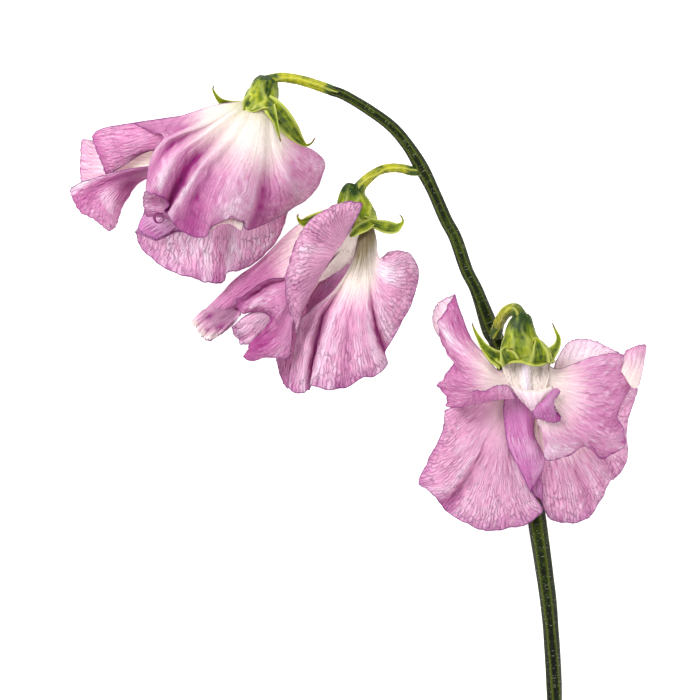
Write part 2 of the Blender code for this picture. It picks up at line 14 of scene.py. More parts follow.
import bmesh
import bpy
import numpy as np
from bpy.types import NodeSocket
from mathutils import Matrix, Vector


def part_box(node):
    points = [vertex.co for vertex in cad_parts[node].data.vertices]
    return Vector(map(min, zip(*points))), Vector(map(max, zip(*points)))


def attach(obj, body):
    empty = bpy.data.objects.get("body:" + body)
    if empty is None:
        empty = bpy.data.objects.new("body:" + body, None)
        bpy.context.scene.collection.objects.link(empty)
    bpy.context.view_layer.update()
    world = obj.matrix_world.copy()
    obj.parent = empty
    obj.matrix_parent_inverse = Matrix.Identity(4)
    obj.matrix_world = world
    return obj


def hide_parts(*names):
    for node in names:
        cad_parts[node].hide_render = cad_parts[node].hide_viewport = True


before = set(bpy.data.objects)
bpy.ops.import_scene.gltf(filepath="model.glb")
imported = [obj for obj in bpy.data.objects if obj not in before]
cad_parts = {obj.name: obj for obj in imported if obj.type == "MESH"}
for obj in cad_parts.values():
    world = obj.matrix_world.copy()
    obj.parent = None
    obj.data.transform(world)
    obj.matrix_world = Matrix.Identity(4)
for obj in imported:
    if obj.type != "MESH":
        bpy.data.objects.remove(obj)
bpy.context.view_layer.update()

logging.basicConfig(level=logging.INFO, format="%(levelname)s %(message)s")
log = logging.getLogger("sweet_pea")

MM = 0.001
SEED = 7
ROOT_BODY = "root"
TINY = 1e-9

# Blossom 1: the broad front petal, from its right lobe to its turned-in left edge.
FRONT_1 = [
    [(-13, 43.2, 13.4), (-11.8, 39.3, 12.8), (-9.5, 37, 10.5), (-7, 36.2, 6.5), (-5.2, 35, 3)],
    [(-13.4, 43.4, 13.9), (-12, 37.9, 14), (-9.3, 35, 12.5), (-6.4, 33, 8.5), (-4.5, 32.9, 4)],
    [(-13.8, 43.4, 14.3), (-12.5, 36.6, 15.2), (-10, 32.5, 14.2), (-7.3, 30, 10.5), (-5.7, 29.6, 5.5)],
    [(-14.1, 43.4, 14.6), (-13.2, 35.7, 16.2), (-11.1, 30.9, 15.8), (-8.9, 27.7, 12.6), (-7.7, 27.1, 8.5)],
    [(-14.5, 43.6, 14.8), (-13.9, 35.2, 16.4), (-12.5, 30, 16), (-11.4, 26.1, 13.4), (-11.2, 25, 11.4)],
    [(-14.8, 43.6, 14.9), (-14.8, 35, 17.2), (-15.4, 29.1, 16.3), (-16.1, 24.5, 14.8), (-17.5, 21.4, 13.6)],
    [(-15.2, 43.8, 15), (-15.5, 35.2, 18.2), (-16.6, 29.5, 18.6), (-17.7, 25.2, 18), (-18.8, 22.1, 16.4)],
    [(-15.5, 43.8, 15), (-16.8, 35.7, 19), (-18.6, 29.8, 20.2), (-20.4, 25.4, 20), (-21.4, 22.9, 19)],
    [(-15.9, 43.9, 15), (-18, 36.2, 19.2), (-20.7, 30.4, 20.8), (-22.9, 25.2, 20.4), (-24.1, 22, 18.6)],
    [(-16.2, 43.9, 15), (-19.1, 36.6, 18.9), (-22.5, 30.7, 20), (-24.8, 25, 19.8), (-25.5, 20, 18)],
    [(-16.6, 43.9, 14.9), (-20.2, 37, 18.5), (-24.5, 31.1, 19.2), (-27.3, 25.7, 18.4), (-28.4, 20.4, 16.4)],
    [(-17, 43.9, 14.8), (-20.9, 37.3, 18.8), (-25.4, 32, 19.8), (-28.6, 26.6, 19.1), (-30.7, 21.6, 17)],
    [(-17.3, 43.9, 14.7), (-21.6, 37.7, 18.7), (-26.2, 32.7, 20), (-29.3, 27.9, 19.6), (-32.1, 23.8, 18.4)],
    [(-17.7, 43.9, 14.5), (-22.9, 37.9, 17.5), (-27.7, 32.9, 17.8), (-30.4, 28.6, 17.2),
     (-32.7, 24.5, 16.4)],
    [(-18, 44.1, 14.4), (-23.8, 38.8, 17.7), (-28.8, 34.5, 18.9), (-31.4, 30.4, 19), (-33.2, 25.7, 17.8)],
    [(-18.4, 44.1, 14.3), (-24.3, 39.3, 17.8), (-29.8, 35.5, 19.4), (-32.7, 31.8, 20), (-34.5, 27.1, 18.4)],
    [(-18.6, 44.1, 14.2), (-24.8, 39.8, 16.4), (-30.9, 36.6, 16.8), (-33.9, 33.2, 16.8),
     (-36.1, 28.6, 16.8)],
    [(-18.8, 44.1, 14), (-25, 40.5, 16.2), (-31.3, 37.9, 17.2), (-33.9, 36.1, 16), (-35.2, 34.1, 14.8)],
    [(-18.9, 44.1, 13.8), (-25.2, 41.4, 15.2), (-30, 39.1, 15), (-32.1, 38.2, 14.6), (-33.4, 38, 13.8)],
    [(-19.1, 44.3, 13.6), (-25.2, 42.3, 14.2), (-30, 40.4, 13.8), (-33.6, 39.1, 12.8), (-36.2, 39.3, 11.8)],
    [(-19.3, 44.3, 13.2), (-24.5, 43.6, 13), (-30.2, 41.8, 12.4), (-34.8, 41.2, 11.6), (-39.1, 40.7, 10.4)],
]
# Blossom 1: upper lobe of the far wing.
FAR_UPPER_1 = [
    [(-18.4, 43.6, 12), (-24.1, 43.4, 12), (-30, 42, 11.5), (-35.7, 41.2, 10.6), (-40.7, 40.5, 9.6),
     (-43.8, 40, 8.6), (-45.7, 39.4, 7.6)],
    [(-18.4, 43.4, 12), (-24.5, 41.6, 12), (-30.4, 40.5, 11.8), (-35.7, 39.8, 11), (-40.7, 39.1, 10),
     (-43.9, 38.9, 9), (-46.4, 38.4, 7.6)],
    [(-18.4, 43.2, 12), (-24.8, 40.5, 12), (-30.7, 39.1, 11.8), (-36.1, 38.2, 11.2), (-40.7, 37.3, 10.2),
     (-43.8, 37.1, 9.4), (-46.1, 37.3, 8.2)],
    [(-18.4, 43, 11.8), (-25.2, 39.6, 11.6), (-31.3, 37.7, 11.4), (-36.4, 36.8, 11), (-40.7, 35.9, 10.2),
     (-43.2, 35.5, 9.6), (-45.5, 35.7, 8.6)],
    [(-18.4, 42.9, 11.6), (-25.5, 38.8, 11.2), (-31.8, 36.4, 10.8), (-36.8, 35.7, 10.4), (-40.7, 34.5, 9.8),
     (-42.9, 33.9, 9.4), (-44.8, 34.1, 8.8)],
    [(-18.4, 42.7, 11.4), (-25.9, 38.2, 10.8), (-32.5, 36.8, 10.2), (-36.4, 35.9, 10), (-40.4, 33.8, 9.4),
     (-42.5, 32.7, 9.2), (-44.1, 32.1, 8.8)],
    [(-18.4, 42.5, 11.2), (-26.2, 37.7, 10.4), (-32.9, 36.4, 9.8), (-36.8, 35.4, 9.6), (-40.5, 33.2, 9.2),
     (-42.3, 32.1, 9), (-43.8, 31.3, 8.6)],
]
# Blossom 1: pale back of the far wing.
FAR_PALE_1 = [
    [(-33.9, 35.9, 8.6), (-40.2, 36.4, 7.8), (-43.8, 37.3, 6.6), (-46.1, 37.7, 5.4), (-47.5, 38.1, 4.4)],
    [(-33.9, 35.2, 8.5), (-40.2, 35.5, 7.6), (-43.8, 36.1, 6.4), (-46.4, 36.8, 5), (-48.6, 38, 3.8)],
    [(-33.9, 34.5, 8.4), (-40.2, 34.5, 7.5), (-43.8, 34.6, 6.4), (-46.4, 35, 5), (-48.8, 35.7, 3.6)],
    [(-33.9, 33.8, 8.3), (-40.2, 33.4, 7.6), (-43.8, 33, 6.6), (-46.4, 33, 5.2), (-48.9, 33.2, 3.8)],
    [(-33.9, 33, 8.3), (-40.2, 32.3, 7.7), (-43.8, 31.6, 6.9), (-46.4, 31.3, 5.6), (-48.8, 31.3, 4.2)],
    [(-33.9, 32.3, 8.4), (-40.2, 31.3, 8), (-43.9, 30.5, 7.2), (-46.1, 30.2, 6.2), (-48.2, 29.6, 5)],
]
# Blossom 1: lower lobes of the far wing, under the fold.
FAR_LOWER_1 = [
    [(-32.1, 34.3, 9.4), (-35.9, 33, 10.4), (-39.6, 32.5, 10.6), (-43.9, 31.4, 10.4), (-46.4, 30.7, 9.8),
     (-48.2, 30.2, 9), (-50.2, 29.3, 7.6)],
    [(-32.1, 33.9, 9.4), (-35.9, 32.7, 10.4), (-39.6, 32, 10.6), (-43.9, 30.7, 10.4), (-46.4, 29.8, 9.6),
     (-48.4, 29.1, 8.4), (-50.4, 28.2, 6.6)],
    [(-32.1, 33.6, 9.4), (-36.1, 32.3, 10), (-39.8, 31.4, 10), (-43.9, 29.8, 9.8), (-46.2, 28.8, 8.8),
     (-48, 27.7, 7.2), (-49.5, 26.1, 5.4)],
    [(-32.1, 33.2, 9.2), (-36.1, 32, 9.4), (-39.8, 30.9, 9.4), (-43.9, 28.8, 9.6), (-45.9, 27.5, 8.4),
     (-47.3, 26.2, 6.8), (-48.6, 24.8, 5)],
    [(-32.1, 32.9, 9), (-36.2, 31.8, 9), (-40, 30.5, 8.9), (-43.6, 27.7, 9.7), (-45, 26.1, 8.2),
     (-46.1, 24.8, 6.6), (-46.8, 23.9, 5)],
    [(-32.1, 32.5, 8.8), (-36.2, 31.6, 8.6), (-40, 30.2, 8.5), (-43.2, 26.8, 9.8), (-44.1, 25, 8.2),
     (-44.8, 23.6, 6.2), (-45.2, 22.8, 4.8)],
    [(-32.1, 32.1, 8.6), (-36.2, 31.4, 8.2), (-40, 29.8, 8), (-42.7, 25.9, 9.9), (-43.2, 24.1, 8.2),
     (-43.6, 22.5, 6), (-43.8, 21.6, 4.6)],
    [(-32.1, 31.8, 8.4), (-36.1, 31.3, 7.6), (-39.6, 29.5, 7.4), (-42.1, 25.5, 9), (-42.3, 24.1, 7.8),
     (-42.5, 22.9, 6), (-42.7, 22, 4.6)],
    [(-32.1, 31.4, 8.2), (-36.1, 31.3, 7.2), (-39.3, 29.3, 7), (-41.2, 26.2, 7.2), (-41.8, 24.8, 6.6),
     (-42.1, 23.6, 5.6), (-42.2, 22.9, 4.6)],
    [(-32.1, 31.1, 8), (-35.9, 31.1, 6.8), (-38.2, 30, 6.4), (-39.6, 28.2, 6.2), (-40.9, 26.2, 5.8),
     (-41.6, 24.6, 5.2), (-42.1, 23, 4.2)],
]
# Blossom 1: the near wing, spread below the front petal.
LOWER_1 = [
    [(-14.6, 41.4, 11.5), (-13, 33.9, 11.4), (-11.6, 27.7, 10.4), (-11.2, 25, 9.8), (-11.4, 24.3, 9.2)],
    [(-14.8, 41.2, 11.5), (-14.1, 33.6, 11.4), (-13, 26.8, 10.2), (-12.1, 22.9, 9.2), (-12.7, 20.5, 8.4)],
    [(-15.2, 41.2, 11.5), (-15.7, 33, 11.4), (-15.4, 25.9, 10.6), (-14.6, 20, 9.6), (-15.2, 17.3, 8.4)],
    [(-15.4, 41.2, 11.5), (-17.5, 33, 11.6), (-18.2, 25.7, 11.2), (-18.2, 19.3, 10.2), (-18.9, 14.6, 8.6)],
    [(-15.4, 41.2, 11.5), (-18.6, 33, 11.6), (-20.2, 25.7, 11.2), (-20.9, 18.6, 10.6), (-22, 13.8, 9)],
    [(-15.5, 41.1, 11.6), (-19.6, 33.4, 11.4), (-21.8, 25.9, 10.8), (-22.5, 18.6, 9.6), (-22.9, 12.1, 7.6)],
    [(-15.5, 41.1, 11.6), (-20.5, 33.6, 11.4), (-23.6, 26.2, 10.8), (-25.2, 19.1, 10), (-25.4, 12.1, 8.2)],
    [(-15.7, 41.1, 11.6), (-21.4, 33.9, 11.4), (-25.7, 26.6, 10.9), (-27.9, 19.8, 9.6), (-28.2, 12.9, 6.6)],
    [(-15.9, 41.1, 11.6), (-22.5, 34.5, 11.3), (-28, 27.5, 10.5), (-30.9, 20.7, 8.8), (-32.5, 14.3, 5.6)],
    [(-16.1, 41.1, 11.6), (-23.6, 35, 11), (-30, 28.9, 10.1), (-33.8, 23, 8), (-36.2, 16.8, 4)],
    [(-16.2, 41.2, 11.6), (-24.5, 35.7, 10.7), (-31.8, 30, 9.5), (-35.5, 24.6, 7.6), (-38, 18.8, 3.6)],
    [(-16.4, 41.4, 11.6), (-25.2, 36.4, 10.4), (-33, 31.1, 9.2), (-36.4, 26.1, 7.6), (-38.8, 21.1, 4.8)],
]
# Blossom 1: the keel's crumpled end, showing at the front petal's left.
ROLLED_1 = [
    [(-23.9, 36.4, 13.2), (-30, 31.8, 14), (-33.6, 28.8, 14.6), (-35.5, 28.2, 14.8), (-36.6, 28.2, 14.4)],
    [(-23.8, 36.1, 13.8), (-29.6, 30.9, 14.8), (-32.9, 27.5, 14.2), (-34.8, 26.4, 12.8), (-37, 26.8, 12)],
    [(-23.4, 35.7, 14.2), (-29.1, 30, 15.2), (-32.1, 26.2, 14.8), (-34.3, 25.2, 14), (-36.8, 25.4, 12.8)],
    [(-22.9, 35.4, 14.4), (-28.4, 29.1, 15.4), (-31.4, 25, 15), (-33.4, 24.1, 14.2), (-36.4, 24.1, 12.8)],
    [(-22.3, 34.8, 14.2), (-27.5, 28, 14.8), (-30.7, 23.8, 14.2), (-32.9, 22.9, 12.8), (-35.7, 22.9, 11.4)],
    [(-21.6, 34.1, 13.6), (-26.4, 26.8, 14), (-29.8, 22.5, 13.4), (-32.1, 21.6, 11.6), (-34.8, 19.6, 10.6)],
    [(-20.9, 33.4, 13), (-25.5, 25.9, 13.4), (-28.6, 21.8, 12.8), (-29.8, 21.2, 12), (-30.9, 21.4, 12)],
]
# Blossom 1: small margin turned up over the near wing's left end.
FLAP_1 = [
    [(-30.9, 21.8, 11.4), (-32.9, 20.7, 10.8), (-34.3, 20, 10), (-34.8, 19.6, 9)],
    [(-32.1, 22.9, 10.8), (-34.5, 21.8, 10.4), (-36.2, 20.9, 9.6), (-36.8, 20.4, 8.6)],
    [(-33.4, 23.9, 10.2), (-35.4, 22.7, 10), (-37.1, 21.8, 9.2), (-38.2, 21.1, 8)],
    [(-34.3, 24.6, 9.6), (-35.9, 23.4, 9.4), (-37.3, 22.3, 8.8), (-38.8, 21.2, 7.4)],
]
# Blossom 2: far half of the standard, down to its crinkled tip.
FAR_2 = [
    [(0.4, 22.9, 12), (-5, 23.9, 10.6), (-9.6, 22.3, 9), (-16.2, 16.2, 6.5), (-20.9, 12.7, 4.5),
     (-25, 8.6, 2.5), (-28.5, 5.5, 1)],
    [(0.2, 22.3, 12.4), (-5.7, 20.7, 11.4), (-11.1, 18.2, 10), (-15.7, 14.8, 8.2), (-20, 11.6, 6.4),
     (-24.3, 7.9, 4.3), (-28, 4.3, 1.6)],
    [(0, 21.8, 12.8), (-5.7, 19.1, 12.4), (-11.1, 16.1, 11.2), (-15, 13.4, 9.4), (-18.9, 10.5, 7.6),
     (-23, 7, 4.9), (-27.1, 2.7, 2.2)],
    [(0, 21.4, 13.2), (-5.7, 17.9, 13.8), (-10.7, 14.6, 12.6), (-14.3, 12.5, 10.6), (-18.2, 10, 8.6),
     (-22.1, 6.4, 4.2), (-25.7, 1.6, 3.4)],
    [(0, 21.2, 13.5), (-5.7, 16.8, 14.4), (-10.7, 13.6, 13.8), (-13.8, 12.3, 12), (-17.5, 9.8, 9.4),
     (-21.2, 6.1, 3.6), (-23.9, 2.5, 4.6)],
    [(0, 21.1, 13.6), (-5.7, 16.1, 14.6), (-10.7, 12.7, 14.2), (-13.4, 12, 13), (-16.8, 10, 10.8),
     (-20, 6.8, 7), (-21.6, 4.1, 5.6)],
    [(0, 20.9, 13.6), (-5.7, 15.7, 14.6), (-10.7, 12.1, 14.2), (-13, 11.4, 13.4), (-16.1, 9.6, 11.6),
     (-19.1, 7.5, 9), (-19.8, 6.2, 7.6)],
]
# Blossom 2: the standard's crumpled middle.
RUFFLE_2 = [
    [(-1.8, 18.8, 14.6), (-7.9, 15, 15), (-11.2, 13, 15.2), (-14.1, 12.7, 14.8), (-16.4, 11.6, 13.8),
     (-18.6, 10, 12.4), (-20.4, 9.1, 11)],
    [(-1.8, 18.6, 14.8), (-8.2, 14.3, 15), (-11.8, 12.3, 14.2), (-14.3, 11.6, 13.2), (-16.6, 10.2, 12),
     (-18.8, 8.9, 11), (-20.2, 7.9, 10)],
    [(-1.8, 18.4, 15), (-8.4, 13.4, 15.6), (-11.8, 11.2, 15.6), (-13.9, 10.4, 15.2), (-16.1, 9.1, 13.8),
     (-18, 7.7, 11.8), (-19.5, 6.6, 10)],
    [(-1.8, 18.2, 15.2), (-8.6, 12.7, 16), (-11.4, 10.4, 16.2), (-13.2, 9.1, 16), (-14.8, 8.2, 14.6),
     (-16.2, 7.5, 12.4), (-17.5, 6.8, 10.4)],
    [(-1.8, 18, 15.4), (-8.6, 12, 16.4), (-11.2, 9.5, 16.6), (-12.7, 8.2, 16.4), (-13.8, 7.5, 15.2),
     (-14.6, 7, 13.4), (-15.2, 6.6, 11.6)],
    [(-1.8, 17.9, 15.5), (-8.6, 11.2, 16.6), (-11.1, 8.6, 16.8), (-12.1, 7.1, 16.6), (-12.9, 6.2, 15.6),
     (-13.6, 5.5, 13.6), (-14.3, 5, 11.4)],
    [(-1.8, 17.7, 15.6), (-8.8, 10.5, 16.8), (-10.9, 7.7, 16.6), (-12, 5.7, 15.6), (-13.2, 4.1, 13.8),
     (-15.2, 2.7, 11.4), (-18, 1.1, 9)],
    [(-1.8, 17.5, 15.7), (-8.8, 10, 16.8), (-10.7, 6.8, 16.4), (-11.8, 4.5, 15.4), (-13.2, 2.7, 14.2),
     (-15.5, 1.2, 12.4), (-18.2, 0, 10.6)],
    [(-2, 17.3, 15.8), (-8.9, 9.6, 17), (-10.7, 6.2, 16.8), (-11.8, 3.6, 16.4), (-13.6, 1.4, 15.4),
     (-16.1, 0, 13.4), (-19.1, -1.2, 11.2)],
    [(-2.1, 17.1, 15.9), (-8.9, 9.3, 17.2), (-10.5, 5.7, 17.4), (-11.6, 2.9, 17.2), (-13, 0.5, 16),
     (-15, -0.9, 14), (-17.5, -2, 11.6)],
    [(-2.3, 17, 16), (-8.9, 8.9, 17.4), (-10.4, 5.4, 17.6), (-11.2, 2.5, 17.4), (-12.3, 0.5, 16.6),
     (-13.4, -0.5, 15.4), (-15.5, -1.4, 13)],
    [(-2.5, 16.8, 16.1), (-8.9, 8.6, 17.6), (-10.4, 5, 17.6), (-11.1, 2.3, 17.4), (-11.6, 0.4, 16.8),
     (-12.3, -0.9, 15.8), (-13.2, -1.4, 14.4)],
    [(-2.7, 16.6, 16.2), (-8.9, 8.4, 17.6), (-10.2, 4.8, 17.6), (-10.5, 2.1, 17.2), (-10.9, 0.2, 16.8),
     (-11.2, -0.9, 16.2), (-11.6, -1.6, 15.4)],
    [(-2.9, 16.4, 16.2), (-8.9, 8.2, 17.6), (-10, 4.6, 17.4), (-10.2, 2, 17), (-10.4, 0.5, 16.6),
     (-10.5, -0.5, 16.2), (-10.7, -1.4, 15.6)],
]
# Blossom 2: a rounded bit of the standard's margin.
ROUND_2 = [
    [(-13.6, 8.2, 11), (-16.4, 7.3, 10.6), (-19.1, 6.1, 9.4), (-21.1, 4.6, 6.6)],
    [(-13.6, 7.9, 11.2), (-16.4, 6.2, 11.2), (-18.9, 4.8, 9.8), (-21.2, 3.8, 6.4)],
    [(-13.6, 7.5, 11.3), (-16.1, 5.4, 11.4), (-18.4, 3.6, 9.8), (-20.7, 2.5, 6.2)],
    [(-13.4, 7.1, 11.4), (-15.4, 4.6, 11.2), (-17.5, 2.7, 9.4), (-19.8, 1.6, 6.2)],
    [(-13.2, 6.8, 11.4), (-14.6, 4.1, 10.8), (-16.6, 2, 8.8), (-18.8, 1, 6.4)],
    [(-13, 6.1, 11.4), (-13.9, 3.6, 10.4), (-15.7, 1.4, 8.4), (-17.5, 0.5, 7)],
]
# Blossom 2: near half of the standard, folded up over the blossom.
NEAR_2 = [
    [(-0.2, 20.7, 17.5), (0.4, 21.8, 18.4), (1.1, 23, 19.2), (1.8, 24.5, 19.8), (2.3, 25.7, 20.2)],
    [(-0.4, 20.5, 17.6), (-0.4, 22.1, 19), (0, 23.8, 20), (0.5, 25.2, 20.6), (0.9, 26.2, 20.4)],
    [(-0.5, 20.2, 17.7), (-1.4, 22.1, 19.4), (-1.8, 23.9, 20.6), (-1.8, 25.2, 20.8), (-1.6, 25.9, 20.2)],
    [(-0.9, 19.6, 17.8), (-2.7, 21.6, 19.6), (-3.6, 23.2, 20.8), (-4.1, 24.3, 20.6), (-4.5, 24.6, 19.8)],
    [(-1.4, 18.8, 17.9), (-3.9, 20.5, 19.6), (-5.5, 21.8, 20.6), (-6.8, 22.7, 20.4), (-7.3, 22.5, 19.4)],
    [(-2.1, 17.9, 18), (-5, 19.1, 19.4), (-7, 20, 20.2), (-8.4, 20.4, 19.8), (-9.3, 19.6, 18.8)],
    [(-3, 16.6, 18), (-6.1, 17, 20), (-8, 17.1, 20.8), (-9.5, 17, 20), (-10.5, 16.2, 18.6)],
    [(-4.1, 15, 18), (-7, 14.3, 20.2), (-8.9, 13.9, 21), (-10.4, 13.4, 20), (-11.4, 12.5, 18.2)],
    [(-5.2, 13.2, 18.2), (-7.7, 12, 19.8), (-9.1, 11.1, 20), (-10.4, 10.4, 19.2), (-11.3, 9.6, 17.8)],
    [(-6.4, 10.9, 18.4), (-8, 9.3, 19.6), (-9.1, 8.2, 19.8), (-10, 7.3, 18.8), (-10.7, 6.8, 17.4)],
    [(-7.5, 8.9, 18.6), (-8.4, 7.3, 19.2), (-8.9, 6.2, 19.2), (-9.5, 5.2, 18.6), (-9.7, 4.3, 17.6)],
    [(-8.2, 7.3, 18.6), (-8.8, 5.9, 18.9), (-9.1, 4.8, 18.8), (-9.4, 3.8, 18.3), (-9.6, 3, 17.4)],
    [(-8.8, 6.2, 18.4), (-8.9, 5.2, 18.4), (-9.1, 4.5, 18.2), (-9.3, 3.8, 17.8), (-9.4, 3.4, 17.4)],
]
# Blossom 2: cream throat of the standard.
THROAT_2 = [
    [(-0.2, 22.5, 15.6), (-1.6, 19.6, 16), (-3, 17.1, 16), (-4.5, 14.8, 15.8), (-5.9, 12.1, 15.4)],
    [(0.5, 22.5, 15.8), (-0.7, 19.1, 15.6), (-2, 16.6, 15.4), (-3.2, 14.6, 15.2), (-4.6, 12.5, 15)],
    [(1.2, 22.5, 15.8), (0.4, 18.8, 15.4), (-0.7, 16.4, 15.2), (-1.8, 14.8, 15), (-3.2, 13.4, 14.8)],
    [(2, 22.5, 15.6), (1.6, 19.3, 15), (0.9, 17.1, 14.8), (0.2, 15.7, 14.7), (-0.7, 15, 14.6)],
]
# Blossom 2: far wing, hidden but for its lower left edge.
FAR_WING_2 = [
    [(1.2, 21.2, 11.8), (-1.2, 12.9, 10.8), (-3.6, 4.5, 10.4), (-5.4, -2.1, 10.2), (-7.3, -7.3, 9.8)],
    [(1.1, 21.2, 11.6), (-2.3, 13.2, 9.8), (-5.9, 5, 8.8), (-8.6, -1.8, 8.4), (-10.5, -7, 8)],
    [(0.9, 21.2, 11.5), (-3.4, 13.8, 8.8), (-7.7, 6.1, 7.8), (-10.5, 0, 7.8), (-11.6, -6.6, 7.2)],
    [(0.7, 21.2, 11.4), (-4.1, 14.5, 8.2), (-8.9, 8, 6.8), (-11.8, 1.6, 6.4), (-12.7, -4.3, 5.8)],
    [(0.5, 21.4, 11.5), (-4.8, 15.5, 8), (-9.1, 9.8, 5.8), (-12, 3.6, 5.2), (-13.4, -1.2, 4.2)],
]
# Blossom 2: the near wing, a broad fan with a greenish claw.
NEAR_WING_2 = [
    [(3.9, 22.9, 14.6), (4.6, 20, 15.2), (4.8, 17.9, 15.2), (4.8, 16.2, 15), (5.7, 16.5, 14.2),
     (6.8, 17.4, 13.2), (8.4, 17.8, 12)],
    [(3.8, 22.9, 14.8), (4.5, 19.3, 15.8), (4.8, 16.8, 16), (6.2, 15.7, 15.8), (8, 16.1, 14.8),
     (9.5, 17, 13), (10.5, 17.3, 11.6)],
    [(3.6, 22.9, 15), (4.3, 18.6, 16.2), (4.6, 15.7, 16.6), (6.6, 14.5, 16.8), (8.8, 14.6, 15.6),
     (10.9, 15.2, 13), (12.1, 15, 10.8)],
    [(3.4, 22.9, 15.1), (4.1, 18, 16.5), (4.5, 14.6, 17), (6.4, 13, 17.4), (8.6, 12.5, 16.6),
     (10.5, 12.3, 14), (12.1, 12.1, 11.4)],
    [(3.2, 22.9, 15.2), (3.9, 17.7, 16.7), (4.3, 13.8, 17.2), (5.9, 11.4, 17.4), (7.9, 10.2, 16.6),
     (9.8, 9.5, 14.6), (11.2, 8.9, 12)],
    [(3.2, 22.9, 15.3), (3.8, 17.3, 16.8), (4.1, 12.9, 17.4), (5.4, 9.8, 18), (6.8, 7.7, 17.6),
     (8.2, 6.2, 15.8), (9.6, 5.7, 13)],
    [(3, 22.9, 15.3), (3.6, 17, 17), (3.9, 12.1, 17.6), (4.6, 8.6, 18), (5.5, 5.5, 17.6), (6.6, 3, 16.2),
     (7.7, 2.1, 13.8)],
    [(3, 22.9, 15.3), (3.4, 16.8, 17), (3.6, 11.6, 17.4), (3.9, 7.7, 16.8), (4.6, 4.1, 15.4),
     (5.5, 1.2, 13.6), (6.3, -0.4, 12.4)],
    [(2.9, 22.9, 15.3), (3.2, 16.4, 17), (3.2, 11.2, 17.8), (3.2, 6.8, 18.2), (3.9, 2.7, 18.2),
     (5.2, -0.7, 17.2), (6.6, -2.7, 15.2)],
    [(2.9, 22.9, 15.3), (3, 16.2, 17), (2.7, 10.9, 17.8), (2.3, 6.2, 18.2), (2.7, 2, 18.2),
     (3.4, -1.8, 17.2), (4.3, -4.7, 15.4)],
    [(2.9, 22.9, 15.3), (2.7, 16.2, 17), (1.8, 10.7, 17.8), (1.2, 5.9, 18), (1.2, 1.2, 17.8),
     (1.6, -2.5, 17), (2, -5, 15.4)],
    [(2.7, 22.9, 15.3), (2.3, 16.1, 17), (1.1, 10.5, 17.6), (0, 5.7, 17.4), (-0.5, 1.1, 16.8),
     (-0.7, -3, 15.8), (-0.7, -6.7, 14.2)],
    [(2.7, 22.9, 15.2), (2, 16.1, 16.8), (0.2, 10.7, 17.4), (-1.4, 5.9, 17.6), (-2.5, 1.1, 17.2),
     (-3.4, -3.4, 16.2), (-3.8, -7.1, 14.8)],
    [(2.5, 22.9, 15.1), (1.4, 16.1, 16.6), (-0.7, 10.9, 17.2), (-3, 6.2, 17.4), (-4.5, 2, 16.8),
     (-5.9, -3, 15.6), (-7, -6.3, 14)],
    [(2.5, 22.9, 15), (1.1, 16.1, 16.4), (-1.4, 11.1, 15.8), (-4.1, 6.8, 15), (-5.5, 2.7, 14.2),
     (-6.6, -2.5, 13.4), (-7.3, -6.8, 12.8)],
    [(2.3, 22.9, 14.9), (0.9, 16.1, 16.2), (-2, 11.1, 16), (-5.2, 7, 15.8), (-7, 2.5, 15.6),
     (-8, -2.7, 14.8), (-8.4, -7.7, 13.4)],
    [(2.1, 22.9, 14.8), (0.7, 16.1, 16), (-2.5, 10.9, 16), (-6.2, 7.3, 15.8), (-8.4, 2.9, 15),
     (-9.6, -2.1, 13.8), (-10.7, -7, 12.4)],
    [(2, 22.9, 14.7), (0.5, 16.2, 15.8), (-3, 10.2, 15.8), (-7, 7.1, 15.6), (-9, 5.2, 15.4),
     (-9.8, 0.9, 14.4), (-10.4, -2.9, 13)],
]
